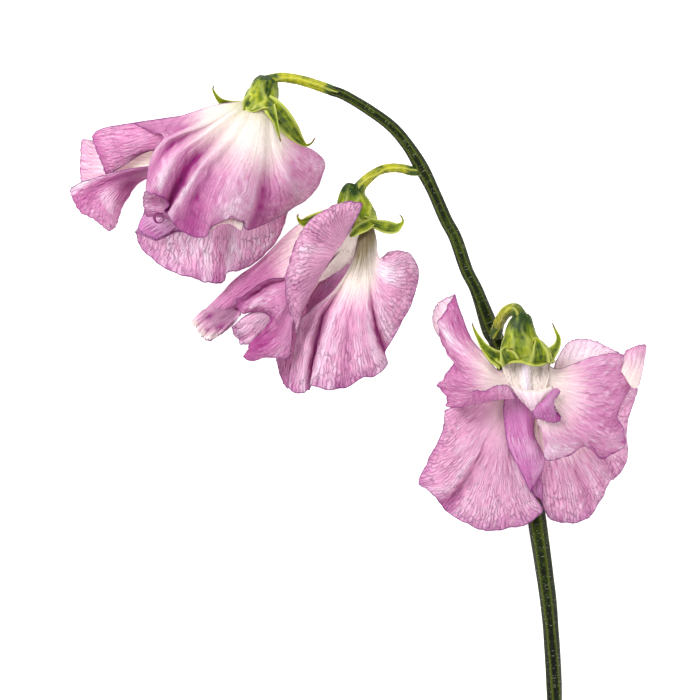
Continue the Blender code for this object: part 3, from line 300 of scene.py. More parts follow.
# Blossom 3: left half of the standard, thrown up and back.
LEFT_3 = [
    [(29.6, 0, 17), (26.6, -3.6, 16.1), (23.9, -0.7, 14.8), (21.6, 2.1, 13.4), (20.2, 5.7, 12.8),
     (19.3, 8.2, 12.2), (18.8, 10.1, 11.5)],
    [(29.6, -0.2, 17.1), (26.8, -4.1, 16.5), (23.4, -1.4, 15.4), (20.7, 1.8, 13.8), (18.9, 4.6, 12.6),
     (17.9, 6.8, 11.8), (17.3, 7.7, 11)],
    [(29.8, -0.4, 17.2), (27, -4.6, 16.9), (23.2, -2.3, 16.2), (20.2, 0.2, 15), (17.9, 2.3, 13.6),
     (16.8, 4.1, 12.2), (16.2, 5, 10.8)],
    [(29.8, -0.5, 17.3), (27.1, -5, 17.2), (23.2, -3.2, 16.6), (20.2, -1.6, 15.4), (18, -0.2, 13.6),
     (17, 1.1, 12), (16.1, 1.8, 10.6)],
    [(30, -0.7, 17.4), (27.3, -5.4, 17.4), (23.6, -4.1, 16.8), (20.7, -3.2, 15.4), (18.9, -2.1, 13.6),
     (18, -1.1, 12), (17.3, -0.4, 11.2)],
    [(30, -0.9, 17.5), (27.5, -5.7, 17.6), (23.8, -5.2, 17), (21.1, -4.8, 15.6), (19.6, -3.9, 14.2),
     (18.9, -3, 12.6), (18.3, -2.3, 12)],
    [(30, -1.1, 17.6), (27.7, -6.1, 17.7), (23.9, -6.1, 17.2), (21.2, -6.1, 15.8), (19.1, -5.5, 14),
     (17.7, -5, 12), (16.8, -5.4, 10.6)],
    [(30.2, -1.1, 17.6), (27.9, -6.4, 17.8), (24.3, -6.8, 17.4), (21.2, -7, 15.8), (18.8, -6.8, 13.8),
     (17, -6.6, 12), (15.4, -6.5, 9.8)],
    [(30.2, -1.2, 17.7), (28, -6.8, 17.9), (24.6, -7.5, 17.6), (21.6, -7.9, 16), (19.3, -8, 14.4),
     (18, -8.2, 12.6), (17.3, -8.2, 11.6)],
    [(30.4, -1.2, 17.7), (28.4, -7.1, 18), (25.2, -8.2, 17.8), (22.1, -8.8, 16.4), (19.8, -9.3, 14.8),
     (18.4, -9.6, 13.4), (17.3, -10, 12.2)],
    [(30.4, -1.4, 17.8), (28.9, -7.7, 18.1), (26.4, -8.8, 18.2), (23.8, -9.3, 17.2), (21.6, -9.8, 16),
     (20.5, -10.2, 15.4), (19.6, -10.4, 15)],
]
# Blossom 3: pale margin folded behind the left half's tip.
FLAP_3 = [
    [(20, 5.4, 11.6), (19.3, 7.9, 11.4), (18.9, 9.3, 11), (18.6, 9.9, 10.8)],
    [(19.3, 4.3, 11.2), (18, 6.8, 10.6), (17.3, 8.4, 9.8), (16.8, 9.1, 9.2)],
    [(18.6, 3.2, 10.8), (17.1, 5.5, 9.8), (16.1, 7.1, 8.8), (15.5, 8, 8)],
    [(18.2, 2.1, 10.6), (16.8, 4.1, 9.4), (15.5, 5.2, 8.2), (14.9, 5.9, 7.2)],
    [(18, 1.1, 10.6), (17, 2.7, 9.6), (15.9, 3.4, 8.4), (15.2, 3.9, 7.4)],
    [(18.2, 0.2, 10.8), (17.3, 1.4, 10), (16.6, 2, 9.2), (15.9, 2.5, 8.6)],
]
# Blossom 3: the left half's lower margin, turned up over it.
CUFF_3 = [
    [(19.7, -10.4, 15.4), (20.4, -9.5, 17), (21.1, -8.8, 17.9), (21.4, -8.2, 18.2)],
    [(21.1, -9.8, 16.4), (21.2, -8.9, 18.2), (21.4, -8, 19), (21.5, -7.4, 18.8)],
    [(22.3, -9.5, 17.2), (22.3, -8.6, 19), (22.3, -7.7, 19.6), (22.3, -7.1, 19.2)],
    [(23.8, -9.3, 18), (23.9, -8.4, 19.6), (23.9, -7.7, 20), (23.9, -7.2, 19.4)],
    [(25.2, -8.9, 18.6), (25.2, -7.9, 20.2), (25.2, -7, 20.4), (25.2, -6.5, 19.8)],
    [(26.4, -8.7, 19), (26.4, -7.5, 20.6), (26.4, -6.6, 20.8), (26.4, -6.2, 20.2)],
    [(27.9, -8.6, 19.2), (27.7, -7.7, 20.4), (27.7, -6.8, 20.6), (27.7, -6.2, 20.2)],
    [(29.3, -8.5, 19.4), (28.9, -7.9, 19.8), (28.6, -7.3, 20), (28.2, -6.6, 19.9)],
]
# Blossom 3: cream base of the standard, with its midrib ridge.
MIDDLE_3 = [
    [(27.3, -0.4, 18.4), (26.8, -2.3, 18.2), (27.3, -4.5, 18.4), (28, -6.1, 19)],
    [(28.6, -0.4, 18.6), (28.6, -2.7, 18), (28.8, -4.8, 18.2), (29.1, -6.8, 19)],
    [(29.8, -0.4, 18.9), (29.8, -2.9, 18.5), (30, -5, 18.7), (30.4, -7.1, 19.4)],
    [(30.9, -0.4, 19.2), (30.9, -3, 19.4), (31.1, -5.2, 19.6), (31.3, -7.3, 19.8)],
    [(32, -0.4, 18.9), (32, -2.9, 18.5), (32.1, -5, 18.6), (32.3, -7.3, 19.3)],
    [(33.4, -0.4, 18.6), (33.4, -2.7, 17.9), (33.6, -4.8, 18.1), (33.6, -7.1, 19)],
    [(35.4, -0.4, 18.4), (35.4, -2.3, 17.8), (35.2, -4.6, 18), (34.5, -6.8, 19)],
]
# Blossom 3: bright pointed tip below the cream base.
TIP_3 = [
    [(27.9, -5.7, 19.4), (28.4, -6.6, 19.8), (29.3, -7.9, 19.4), (30.2, -8.9, 18.8)],
    [(28.9, -6.4, 19.8), (29.5, -7.1, 20.2), (30.2, -8.2, 20), (31.1, -9.8, 19)],
    [(30.4, -7, 20), (30.5, -7.5, 20.6), (31.1, -8.9, 20.4), (31.9, -10.7, 19.2)],
    [(31.8, -7.1, 20.2), (32, -7.7, 20.8), (32.1, -9.1, 20.6), (32.3, -10.9, 19.6)],
    [(33.2, -7, 20), (33.2, -7.7, 20.6), (33.2, -8.9, 20.4), (33, -10.2, 19.6)],
    [(34.5, -6.8, 19.6), (34.6, -7.3, 20), (34.5, -8.2, 20), (33.9, -9.3, 19.6)],
    [(35.7, -6.4, 19.2), (35.9, -6.8, 19.6), (35.9, -7.3, 19.6), (35.7, -7.9, 19.4)],
]
# Blossom 3: deep pink curl beside the pointed tip.
CURL_3 = [
    [(32.3, -10.5, 19.8), (32.2, -11.1, 19.6), (32.5, -11.8, 19.2), (33, -12.1, 18.8)],
    [(33.2, -9.6, 20.2), (33.2, -10.5, 20.3), (33.6, -11.4, 19.9), (34.1, -12.3, 19.2)],
    [(34.1, -8.8, 20.6), (34.3, -9.8, 20.8), (34.6, -11.1, 20.2), (35, -12.7, 19.4)],
    [(35, -7.7, 20.7), (35.2, -8.9, 21), (35.5, -10.9, 20.4), (36.1, -12.8, 19.4)],
    [(35.7, -7, 20.6), (35.7, -8.2, 20.9), (35.9, -10.4, 20.4), (36.8, -12.4, 19.4)],
    [(36.4, -6.7, 20.4), (36.2, -7.7, 20.6), (35.7, -9.5, 20.2), (35.7, -11.1, 19.6)],
    [(37.1, -7.3, 20), (36.5, -8.2, 20), (35.5, -9.3, 19.8), (35.2, -10, 19.6)],
]
# Blossom 3: right half of the standard.
RIGHT_3 = [
    [(32.5, 0, 17.4), (36.1, -3.2, 16.5), (39.6, -2.5, 15.6), (43.2, -1.2, 14.2), (46.1, -0.6, 13.2),
     (48, -0.4, 12.4)],
    [(32.5, -0.2, 17.5), (36.1, -3.8, 16.9), (40, -3.2, 16.8), (43.9, -2.1, 16), (47, -1.6, 14.6),
     (49.3, -1.2, 12.6)],
    [(32.5, -0.4, 17.6), (35.9, -4.3, 17.3), (40.4, -4.1, 17.4), (44.3, -3.4, 16.4), (47.5, -3, 14.8),
     (50.2, -2.5, 12.2)],
    [(32.3, -0.5, 17.7), (35.9, -5, 17.5), (40.7, -5.4, 17.8), (44.6, -5, 16.6), (47.9, -4.5, 14.6),
     (50.8, -3.8, 12)],
    [(32.3, -0.5, 17.7), (35.7, -5.7, 17.7), (40.7, -6.8, 18), (44.6, -7, 16.8), (48, -6.8, 14.4),
     (50.9, -5.2, 11.6)],
    [(32.1, -0.7, 17.8), (35.5, -6.2, 17.8), (40.5, -8.4, 18.2), (44.5, -9.3, 17), (47.1, -9.6, 15.2),
     (49.1, -8.2, 12.8)],
    [(32.1, -0.9, 17.8), (35.4, -6.8, 17.9), (40, -9.8, 18.4), (43.9, -11.6, 17.2), (46.4, -12.5, 15.8),
     (47.7, -11.4, 14.6)],
    [(32, -0.9, 17.8), (35.2, -7.1, 17.9), (39.5, -11.1, 18.4), (43.4, -13.4, 17.4), (46.2, -14.8, 15.8),
     (48.6, -14.3, 13.6)],
    [(32, -1.1, 17.8), (35, -7.5, 18), (38.8, -12.3, 18.2), (42.5, -15, 17.4), (45.7, -16.6, 15.6),
     (48.9, -17.1, 13)],
    [(32, -1.1, 17.8), (34.8, -7.9, 18), (38, -13.2, 18.2), (41.6, -15.9, 17.4), (44.3, -17.7, 15.8),
     (46.6, -18.6, 13.8)],
    [(31.8, -1.2, 17.8), (34.6, -8.2, 18.1), (37.5, -13.8, 18.2), (40.7, -16.2, 17.6), (43, -17.7, 16.8),
     (44.6, -19.3, 15.6)],
    [(31.8, -1.2, 17.8), (34.5, -8.6, 18.1), (37, -13.9, 18.2), (39.6, -16.1, 17.8), (41.4, -16.6, 17.4),
     (42.9, -17.1, 17.2)],
    [(31.8, -1.2, 17.9), (34.3, -8.8, 18.1), (36.2, -14.1, 18.2), (38.4, -16.4, 17.6), (40, -17.1, 16.8),
     (40.9, -17.3, 16.2)],
    [(31.6, -1.2, 17.9), (34.1, -9.1, 18.1), (35.5, -14.1, 18.2), (37, -16.6, 17.6), (37.9, -18, 16.4),
     (38.6, -18.9, 15.2)],
    [(31.6, -1.2, 17.9), (33.9, -9.5, 18.1), (34.8, -14.1, 18.2), (35.5, -16.6, 17.6), (35.7, -18.2, 16.6),
     (36.1, -19.5, 15.4)],
    [(31.4, -1.2, 17.9), (33.6, -9.8, 17.9), (34.1, -13.9, 17.8), (34.6, -16.2, 17.2), (34.5, -17.9, 16.4),
     (34.5, -19.2, 15.4)],
    [(31.4, -1.2, 17.9), (33.2, -10.4, 17.7), (33, -12.1, 17.6), (33.9, -14.3, 17), (34.5, -16.1, 16.6),
     (34.5, -17.7, 16)],
]
# Blossom 3: pale margin folded behind the right half.
BACK_3 = [
    [(36.1, -3.9, 14.4), (36.6, -2.1, 14), (37.5, -0.5, 13.4), (38.6, 1.1, 12.6)],
    [(37.9, -3.9, 14.2), (38.6, -1.6, 13.6), (39.3, 0.4, 12.8), (39.8, 1.8, 11.8)],
    [(39.6, -3.6, 14), (40.5, -1.2, 13.2), (41.2, 0.5, 12.2), (41.8, 2, 11.2)],
    [(41.4, -3.2, 13.6), (42.5, -1.2, 12.8), (43.2, 0.4, 11.8), (43.9, 1.6, 10.8)],
    [(43.6, -2.9, 13.2), (44.6, -1.4, 12.4), (45.5, -0.2, 11.6), (46.2, 0.5, 10.8)],
    [(45.7, -2.5, 12.8), (46.6, -1.6, 12.2), (47.5, -0.9, 11.6), (48, -0.4, 11.2)],
]
# Blossom 3: left wing, a fan hanging down.
WING_LEFT_3 = [
    [(29.5, -1.1, 14.5), (27.1, -4.3, 13.2), (23.6, -7.5, 11.8), (20, -9.6, 9.6), (17.3, -10.7, 8),
     (17.1, -11.1, 7.4)],
    [(29.6, -1.2, 14.3), (27.3, -5.2, 13), (23.4, -9.3, 11.6), (20, -12.1, 9.4), (17.9, -13.8, 7.2),
     (16.8, -14.1, 5.6)],
    [(29.6, -1.4, 14.2), (27.5, -5.9, 12.9), (23.6, -11.1, 11.4), (20.2, -14.6, 9.4), (17.5, -17.1, 6.6),
     (15.7, -17, 4.4)],
    [(29.8, -1.4, 14.2), (27.7, -6.6, 12.8), (23.8, -12.5, 11.4), (20.2, -17, 9.6), (16.4, -20.2, 6),
     (13.9, -20.5, 3)],
    [(29.8, -1.4, 14.1), (27.9, -7.1, 12.7), (23.9, -13.8, 11.4), (20.4, -19.1, 9.6), (16.1, -23, 5.8),
     (12.5, -24.1, 2.4)],
    [(29.8, -1.6, 14.1), (28, -7.7, 12.6), (24.3, -15, 11.4), (21.1, -20.7, 9.8), (17.7, -24.8, 6.8),
     (14.6, -25.7, 4.4)],
    [(30, -1.6, 14), (28.2, -8.2, 12.5), (24.6, -16.1, 11), (21.6, -22.1, 8.4), (18.9, -26.2, 5),
     (16.8, -28.5, 3)],
    [(30, -1.6, 14), (28.2, -8.6, 12.4), (25.4, -16.8, 11.4), (22.9, -22.9, 10), (20.7, -27.1, 7.6),
     (18.6, -30, 4.8)],
    [(30.2, -1.6, 14), (28.4, -8.9, 12.4), (26.1, -17.3, 11.8), (24.3, -23.6, 10.8), (22.9, -28.2, 9),
     (21.6, -31.6, 6)],
    [(30.2, -1.8, 13.9), (28.6, -9.3, 12.4), (26.8, -17.7, 12), (25.9, -23.9, 11.2), (25.2, -28.8, 9.6),
     (24.8, -32.6, 6.8)],
    [(30.4, -1.8, 13.9), (28.6, -9.6, 12.4), (27.5, -17.9, 12), (27.5, -23.9, 11.2), (27.7, -28.4, 9.8),
     (28, -32.2, 7.4)],
    [(30.4, -1.8, 13.9), (28.8, -10, 12.3), (28.2, -17.9, 11.8), (29.1, -23.9, 11), (30.2, -28, 10),
     (31.6, -31.3, 8.4)],
    [(30.5, -1.8, 13.9), (28.8, -10.4, 12.2), (28.6, -17.5, 11.4), (30.2, -23.2, 11), (32.1, -27.1, 10.4),
     (34.6, -28.9, 9.6)],
    [(30.5, -1.8, 13.9), (28.8, -10.4, 12.2), (29.1, -16.1, 11.6), (30.4, -20.4, 11.4), (31.8, -23.8, 11.2),
     (33, -26.2, 10.8)],
]
# Blossom 3: keel, two petals fused along the back into a boat.
KEEL_3 = [
    [(29.8, -1.2, 15.9), (27.5, -8.6, 14.2), (27.5, -13.2, 13.4), (28.4, -17.7, 12.9), (30.4, -21.6, 12.4),
     (32.3, -25.5, 11.6)],
    [(30.2, -1.1, 16.8), (29.3, -8.8, 15.4), (29.6, -13.8, 14.8), (30.5, -17.9, 14.2), (31.8, -21.4, 13),
     (32.5, -24.8, 11.9)],
    [(30.7, -1.1, 17.2), (30.5, -8.9, 16), (31.1, -14.1, 15.6), (32, -18, 15), (32.7, -21.2, 13.6),
     (32.9, -24.3, 12)],
    [(31.3, -1.1, 16.8), (32, -9.3, 15.6), (32.1, -14.3, 15), (33.2, -17.9, 14.6), (33.8, -20.7, 13.4),
     (33.4, -23.2, 11.9)],
    [(31.6, -1.2, 15.9), (32.9, -10, 14.4), (32.7, -14.6, 13.6), (33.9, -17.5, 13.4), (34.8, -19.6, 12.6),
     (34.1, -22.5, 11.6)],
]
# Blossom 3: a small folded point at the keel's end.
KEEL_TIP_3 = [
    [(33.2, -22.9, 10.8), (32.7, -24.3, 10.6), (32.5, -25.4, 10.4), (33.2, -26.2, 10.2)],
    [(33.9, -23.2, 10.9), (33.8, -24.6, 10.8), (33.8, -25.7, 10.6), (34.1, -26.8, 10.4)],
    [(34.6, -23.9, 10.6), (34.5, -25.2, 10.4), (34.5, -26.4, 10.2), (34.6, -27.9, 10)],
]
# Blossom 3: right wing, a fan hanging to the lower right.
WING_RIGHT_3 = [
    [(31.4, -1.8, 13.9), (32.3, -10.7, 12.4), (32.9, -17.5, 11.8), (33.2, -22.5, 10.6), (33.8, -25.4, 10.2),
     (35, -28.8, 9.4)],
    [(31.6, -1.6, 14), (33.2, -10.4, 12.3), (34.3, -17.9, 11.4), (35, -23.6, 10.2), (35.5, -27.1, 9.4),
     (36.1, -30.5, 8)],
    [(31.6, -1.6, 14), (34.3, -10, 12.3), (36.4, -18, 11.2), (37.9, -23.9, 9.8), (38.4, -27.7, 8.4),
     (38.8, -31.2, 6.6)],
    [(31.8, -1.4, 14), (34.8, -9.6, 12.2), (37.5, -18.2, 11), (39.6, -23.9, 9.4), (40.5, -27.9, 7.6),
     (41.2, -31.1, 5.4)],
    [(31.8, -1.4, 14), (35.2, -9.3, 12.2), (38.8, -18.2, 10.8), (41.4, -23.4, 8.2), (42.9, -26.8, 6),
     (43.6, -30, 4)],
    [(32, -1.4, 14.1), (35.5, -8.9, 12.2), (40, -17.9, 10.8), (43.2, -22.7, 9), (44.6, -25.4, 6.8),
     (45.4, -27, 4.6)],
    [(32, -1.2, 14.1), (35.9, -8.4, 12.1), (41.2, -17.3, 10.6), (44.6, -21.2, 8.8), (46.2, -23.2, 6.6),
     (47, -23.8, 4.6)],
    [(32.1, -1.2, 14.2), (36.2, -7.7, 12), (42.3, -16.4, 10.4), (45.7, -19.8, 8), (47.1, -21.6, 5.6),
     (48, -23.2, 3.8)],
    [(32.1, -1.2, 14.2), (36.4, -7.1, 12), (43, -15.2, 10.6), (46.8, -18.2, 9), (48.6, -19.6, 6.6),
     (49.8, -20.9, 3.6)],
    [(32.1, -1.1, 14.3), (36.6, -6.4, 12), (43.6, -13.8, 10.6), (47.5, -16.1, 9.2), (49.3, -17.1, 6.6),
     (50.4, -18.2, 3)],
    [(32.3, -1.1, 14.3), (36.8, -5.9, 12), (43.9, -12, 10.4), (47.9, -13.6, 9), (49.3, -14.1, 6.8),
     (50.1, -14.5, 3.2)],
    [(32.3, -1.1, 14.4), (37, -5.5, 12.1), (44.1, -10.2, 10.4), (48, -10.5, 9.2), (50, -10, 7.2),
     (51.4, -9.1, 4.6)],
    [(32.3, -0.9, 14.5), (37, -5.2, 12.2), (44.1, -8.9, 10.6), (48.2, -8.8, 9.8), (50.4, -8.2, 8.2),
     (51.9, -7.3, 6)],
    [(32.3, -0.7, 14.5), (37, -4.8, 12.2), (44.1, -7.5, 10.8), (47.9, -7.1, 10.2), (49.8, -6.6, 9),
     (51.2, -5.7, 8)],
]
# Blossom 3: small ear at the right half's upper corner.
EAR_3 = [
    [(47.9, -3.4, 14.2), (48.4, -2, 13.9), (48.8, -0.9, 13.4), (49.1, -0.1, 13)],
    [(48.6, -4.3, 14.3), (49.5, -2.1, 14), (49.8, -0.7, 13.8), (50.2, 0.4, 13.2)],
    [(49.3, -5.4, 14.1), (50.4, -2.5, 14), (50.7, -0.7, 13.9), (51.1, 0.8, 13.2)],
    [(50, -6.4, 13.7), (51.1, -2.9, 13.7), (51.6, -0.9, 13.4), (52, 1, 12.8)],
    [(50.7, -6.8, 13), (51.8, -3.2, 13.1), (52.3, -1.2, 12.6), (52.9, 0.8, 12)],
    [(51.6, -6.4, 12), (52.1, -4.3, 12.4), (52.5, -2.3, 12), (52.8, -0.7, 11.6)],
]
# Blossom 1: pale back of the front petal's margin where it curls under.
CURL_1 = [
    [(-24.6, 21.2, 18.2), (-24.5, 22, 17.8), (-24.3, 22.6, 17.2)],
    [(-23.4, 22.1, 18.2), (-23.3, 22.6, 17.6), (-23.2, 23, 17)],
    [(-22.1, 22.4, 18), (-22.1, 22.9, 17.4), (-22, 23.2, 16.8)],
    [(-20.9, 22.2, 17.4), (-20.8, 22.8, 17), (-20.7, 23.2, 16.4)],
    [(-19.6, 21.3, 16.8), (-19.6, 22.1, 16.6), (-19.6, 22.9, 16.2)],
    [(-19.1, 21.2, 16.2), (-18.9, 22, 16.2), (-18.8, 22.7, 16)],
]
# Blossom 2: crinkled, drying end of the back petal.
TIP_2 = [
    [(-23.6, 9.3, 3.2), (-25.5, 8, 3.8), (-27.1, 7, 2.8), (-28.5, 5.6, 1.8)],
    [(-22.5, 8.6, 4.4), (-25, 7, 4.4), (-26.8, 5.7, 3.4), (-28.3, 4.4, 2.4)],
    [(-21.4, 7.9, 5.2), (-24.3, 5.9, 5), (-26.1, 4.5, 4.2), (-27.4, 3, 3)],
    [(-20.5, 7.1, 5.4), (-23.2, 5, 5.4), (-24.8, 3.6, 4.8), (-25.9, 2.1, 4)],
    [(-19.6, 6.4, 6.4), (-21.6, 4.8, 6.6), (-22.9, 3.6, 6), (-24.3, 2.4, 5)],
]
# Blossom 1: keel, two petals fused along the back edge into a boat.
KEEL_1 = [
    [(-16.6, 42.3, 13.2), (-23.9, 36.4, 13.2), (-30, 30.7, 13.2), (-34.6, 26.4, 12.4), (-37.1, 23.9, 11)],
    [(-16.4, 42.1, 13.6), (-23.4, 35.9, 14.2), (-29.3, 29.8, 14.4), (-34.1, 25.4, 13.4),
     (-37.7, 22.5, 11.6)],
    [(-16.2, 42, 13.8), (-22.7, 35.4, 14.6), (-28.6, 28.9, 14.8), (-33.4, 24.3, 13.8), (-37.7, 21.4, 11.8)],
    [(-15.9, 41.8, 13.6), (-22, 34.6, 14.2), (-27.7, 28, 14.4), (-32.1, 23.2, 13.4), (-36.4, 20.5, 11.6)],
    [(-15.7, 41.6, 13.2), (-21.2, 33.9, 13.2), (-26.6, 27.1, 13.2), (-30.7, 22.1, 12.4), (-34.6, 19.8, 11)],
]
# Blossom 2: keel, two petals fused along the back edge into a boat.
KEEL_2 = [
    [(0.7, 20.7, 12.9), (-2.1, 16.2, 13), (-5.2, 12.3, 12.6), (-7.3, 8.9, 12), (-8, 5.5, 11.4)],
    [(1.1, 20.9, 13.6), (-1.8, 15.9, 14.2), (-4.6, 11.8, 13.6), (-6.8, 8.4, 12.8), (-7.7, 5.4, 11.7)],
    [(1.4, 20.9, 13.9), (-1.2, 15.7, 14.6), (-3.8, 11.2, 14), (-6.1, 8, 13.2), (-7.3, 5.2, 11.9)],
    [(1.8, 20.9, 13.6), (-0.5, 15.4, 14.2), (-2.9, 10.9, 13.6), (-5.4, 7.7, 12.8), (-7, 5, 11.7)],
    [(2.1, 20.7, 12.9), (0, 15, 13), (-2.1, 10.4, 12.4), (-4.6, 7.3, 12), (-6.6, 4.8, 11.4)],
]
# Stem, stalks and stamens: x, y, z and radius.
STEM_LINE = [
    (37.1, -92.5, 1.6, 1.42), (37.1, -76.8, 1.9, 1.4), (37.1, -62.5, 2.4, 1.38), (36.2, -48.2, 3.3, 1.42),
    (35, -38.8, 4, 1.55), (33.9, -31.3, 4.6, 1.62), (32.3, -19.6, 5.6, 1.6), (29.6, -8.9, 6.8, 1.5),
    (26.6, 0.9, 8.2, 1.45), (25.2, 3.9, 8.7, 1.55), (22.7, 10.7, 9.6, 1.14), (20.9, 14.3, 10, 1.14),
    (18.9, 20, 10.6, 1.16), (17.1, 23.4, 10.9, 1.12), (14.8, 28.6, 11.4, 1.1), (12.7, 32.7, 11.9, 1.25),
    (10.4, 36.4, 12.3, 1.06), (7.5, 39.8, 12.6, 1.02), (3.6, 42.7, 12.8, 0.96), (-0.9, 45.4, 12.8, 0.9),
    (-3.6, 46.4, 12.7, 0.92),
]
PEDICEL_LINE_1 = [
    (-2.1, 45.9, 12.8, 0.8), (-4.3, 46.7, 12.7, 0.95), (-7.9, 47.9, 12.6, 0.92), (-10.7, 48.5, 12.6, 0.88),
    (-12.9, 48.6, 12.6, 0.9), (-15.2, 47.7, 12.4, 1.25),
]
PEDICEL_LINE_2 = [
    (12.7, 31.8, 11.9, 0.7), (10.9, 32, 12, 0.86), (9.3, 32.4, 12.1, 0.82), (7.3, 32.5, 12.2, 0.8),
    (5.2, 32, 12.4, 0.82), (3.2, 30.6, 12.6, 0.92), (1.8, 29.1, 12.7, 1.1), (1.1, 27.5, 12.7, 1.6),
]
PEDICEL_LINE_3 = [
    (26.1, 2.5, 10, 1.1), (26.6, 4.6, 11.4, 1), (27.2, 5.9, 13.4, 1), (28, 6.9, 15.6, 1.05),
    (29.3, 7.1, 17, 1.15), (30.4, 5.4, 17.2, 1.3),
]
STAMEN_LINE_1 = [
    (-15.9, 41.2, 12.4, 0.4), (-22.1, 34.5, 12.8, 0.4), (-28.2, 28.4, 12.9, 0.4), (-32.7, 24.1, 12.1, 0.4),
]
STAMEN_LINE_2 = [
    (1.2, 19.6, 12.4, 0.4), (-1.2, 15.4, 12.7, 0.4), (-3.8, 11.1, 12.1, 0.42), (-5.7, 8.4, 11.5, 0.4),
]
STAMEN_LINE_3 = [
    (30.7, -1.4, 15.7, 0.4), (30.7, -8.6, 14.2, 0.4), (31.4, -15.7, 12.6, 0.45), (33, -20.7, 11.2, 0.45),
]
# Calyx bells, then their teeth: x, y, z and radius or half width.
BELL_LINE_1 = [
    (-15, 48.9, 12.5, 1), (-15.1, 48.2, 12.5, 1.8), (-15.2, 47.3, 12.6, 2.25), (-15.4, 46.2, 12.7, 2.5),
    (-15.7, 45.2, 12.8, 2.8), (-15.9, 44.1, 12.9, 3.1), (-16, 43.2, 13, 3.3), (-16, 42.5, 13, 3.3),
]
BELL_LINE_2 = [
    (0.7, 29.5, 12.7, 1.1), (0.4, 28.4, 12.8, 1.8), (0.4, 27.1, 12.9, 2.4), (0.6, 25.9, 13, 2.75),
    (1.1, 24.6, 13.2, 2.9), (1.6, 23.4, 13.4, 2.9), (2.1, 22.1, 13.5, 2.7),
]
BELL_LINE_3 = [
    (30.4, 6.2, 17, 1.2), (30.4, 5.4, 17.2, 1.8), (30.3, 3.9, 17.2, 2.35), (30.3, 2.5, 17, 2.75),
    (30.4, 1.1, 16.7, 3.4), (30.7, -0.2, 16.2, 4.2), (30.9, -1.2, 16, 4.7), (30.9, -2, 15.9, 4.9),
]
TOOTH_LINES_1 = [
    [(-15, 44.3, 15.4, 1.3), (-13.6, 42.9, 16, 1.7), (-12, 41.1, 15.4, 1.75), (-10.4, 39.1, 13.8, 1.45),
     (-9.1, 37.6, 11.8, 0.85), (-8, 36.7, 10.8, 0.35), (-7, 36.9, 11.4, 0.18), (-6.2, 37.9, 12.4, 0.06)],
    [(-14.3, 43.2, 15.9, 1.1), (-13.8, 42, 16.3, 0.85), (-13.2, 40.5, 16.3, 0.45), (-12.8, 38.8, 16, 0.28),
     (-12.3, 37, 15.6, 0.06)],
    [(-19.3, 43.6, 12.4, 0.9), (-21.4, 43.8, 12, 0.8), (-23, 44.4, 12.2, 0.6), (-23.9, 45.4, 12.8, 0.35),
     (-24.4, 46.4, 13.4, 0.18), (-24.3, 47.1, 13.8, 0.05)],
    [(-17.1, 44.6, 15.6, 1.3), (-17.9, 43.6, 15.8, 1.3), (-18.5, 42.7, 15.4, 0.6), (-19, 42.3, 15, 0.1)],
    [(-16.1, 44.1, 10.3, 1.4), (-16.1, 42.9, 9.7, 1.1), (-16.1, 41.6, 9.3, 0.6), (-16.1, 40.4, 9.1, 0.08)],
]
TOOTH_LINES_2 = [
    [(2.3, 22.9, 15.8, 1), (4.3, 22.4, 15.8, 0.85), (6.2, 21.9, 15.4, 1.15), (7.9, 21.7, 15, 1),
     (8.8, 22.1, 14.9, 0.6), (9.4, 22.8, 15.2, 0.25), (9.2, 23.6, 15.8, 0.12), (8.8, 23.9, 16, 0.05)],
    [(3.9, 22.7, 16, 0.7), (2.9, 22.1, 16.7, 0.95), (1.6, 21.4, 16.9, 0.9), (0.5, 20.5, 16.7, 0.5),
     (0, 20.2, 16.4, 0.1)],
    [(-1.1, 24.5, 12.6, 1.2), (-3.6, 23.9, 12.2, 1.3), (-6.1, 23.2, 12, 1.25), (-7.9, 22.8, 12, 0.95),
     (-8.9, 23, 12.2, 0.45), (-9.4, 23.8, 12.6, 0.15), (-9.2, 24.2, 12.8, 0.05)],
    [(0.9, 23.4, 15.5, 1), (0.7, 22.7, 15.8, 0.8), (0.5, 22.1, 15.8, 0.4), (0.5, 21.6, 15.7, 0.06)],
    [(1.8, 23.2, 10.9, 1.3), (2.1, 22.1, 10.4, 1), (2.5, 20.9, 10.1, 0.55), (2.9, 19.6, 10, 0.08)],
]
TOOTH_LINES_3 = [
    [(27.1, -1.8, 17.4, 1.8), (25.5, -1.1, 17.4, 1.25), (23.9, 0.4, 17.2, 0.75), (22.8, 2.1, 17.2, 0.42),
     (22, 3.6, 17.4, 0.22), (21.6, 4.8, 17.6, 0.05)],
    [(34.1, -1.6, 17.4, 1.8), (35.5, -0.6, 17.2, 1.15), (36.6, 0.7, 17, 0.7), (36.9, 2.1, 17.2, 0.42),
     (36.3, 3.6, 17.4, 0.22), (35.8, 4.8, 17.6, 0.05)],
    [(28.2, -2.1, 20.4, 1.7), (27.7, -1.1, 21.2, 1.5), (27.2, -0.2, 21.6, 0.85), (27.5, 0.3, 21.8, 0.3),
     (28.6, 0.1, 21.7, 0.08)],
    [(33.4, -2, 20.4, 1.8), (33.4, -0.7, 21.2, 1.5), (33.1, 0.5, 21.7, 1), (32.9, 1.6, 21.9, 0.5),
     (32.4, 1.9, 21.9, 0.22), (32.3, 0.9, 21.6, 0.06)],
    [(30.9, -0.5, 11.6, 1.5), (30.9, -2, 11, 1.1), (30.9, -3.2, 10.7, 0.6), (30.9, -4.5, 10.5, 0.08)],
]


def drawn_box(stations: list) -> tuple[np.ndarray, np.ndarray]:
    """Lowest and highest corners of a stalk drawn as x, y, z and radius."""
    line = np.array(stations)
    return (line[:, :3] - line[:, 3:]).min(axis=0), (line[:, :3] + line[:, 3:]).max(axis=0)


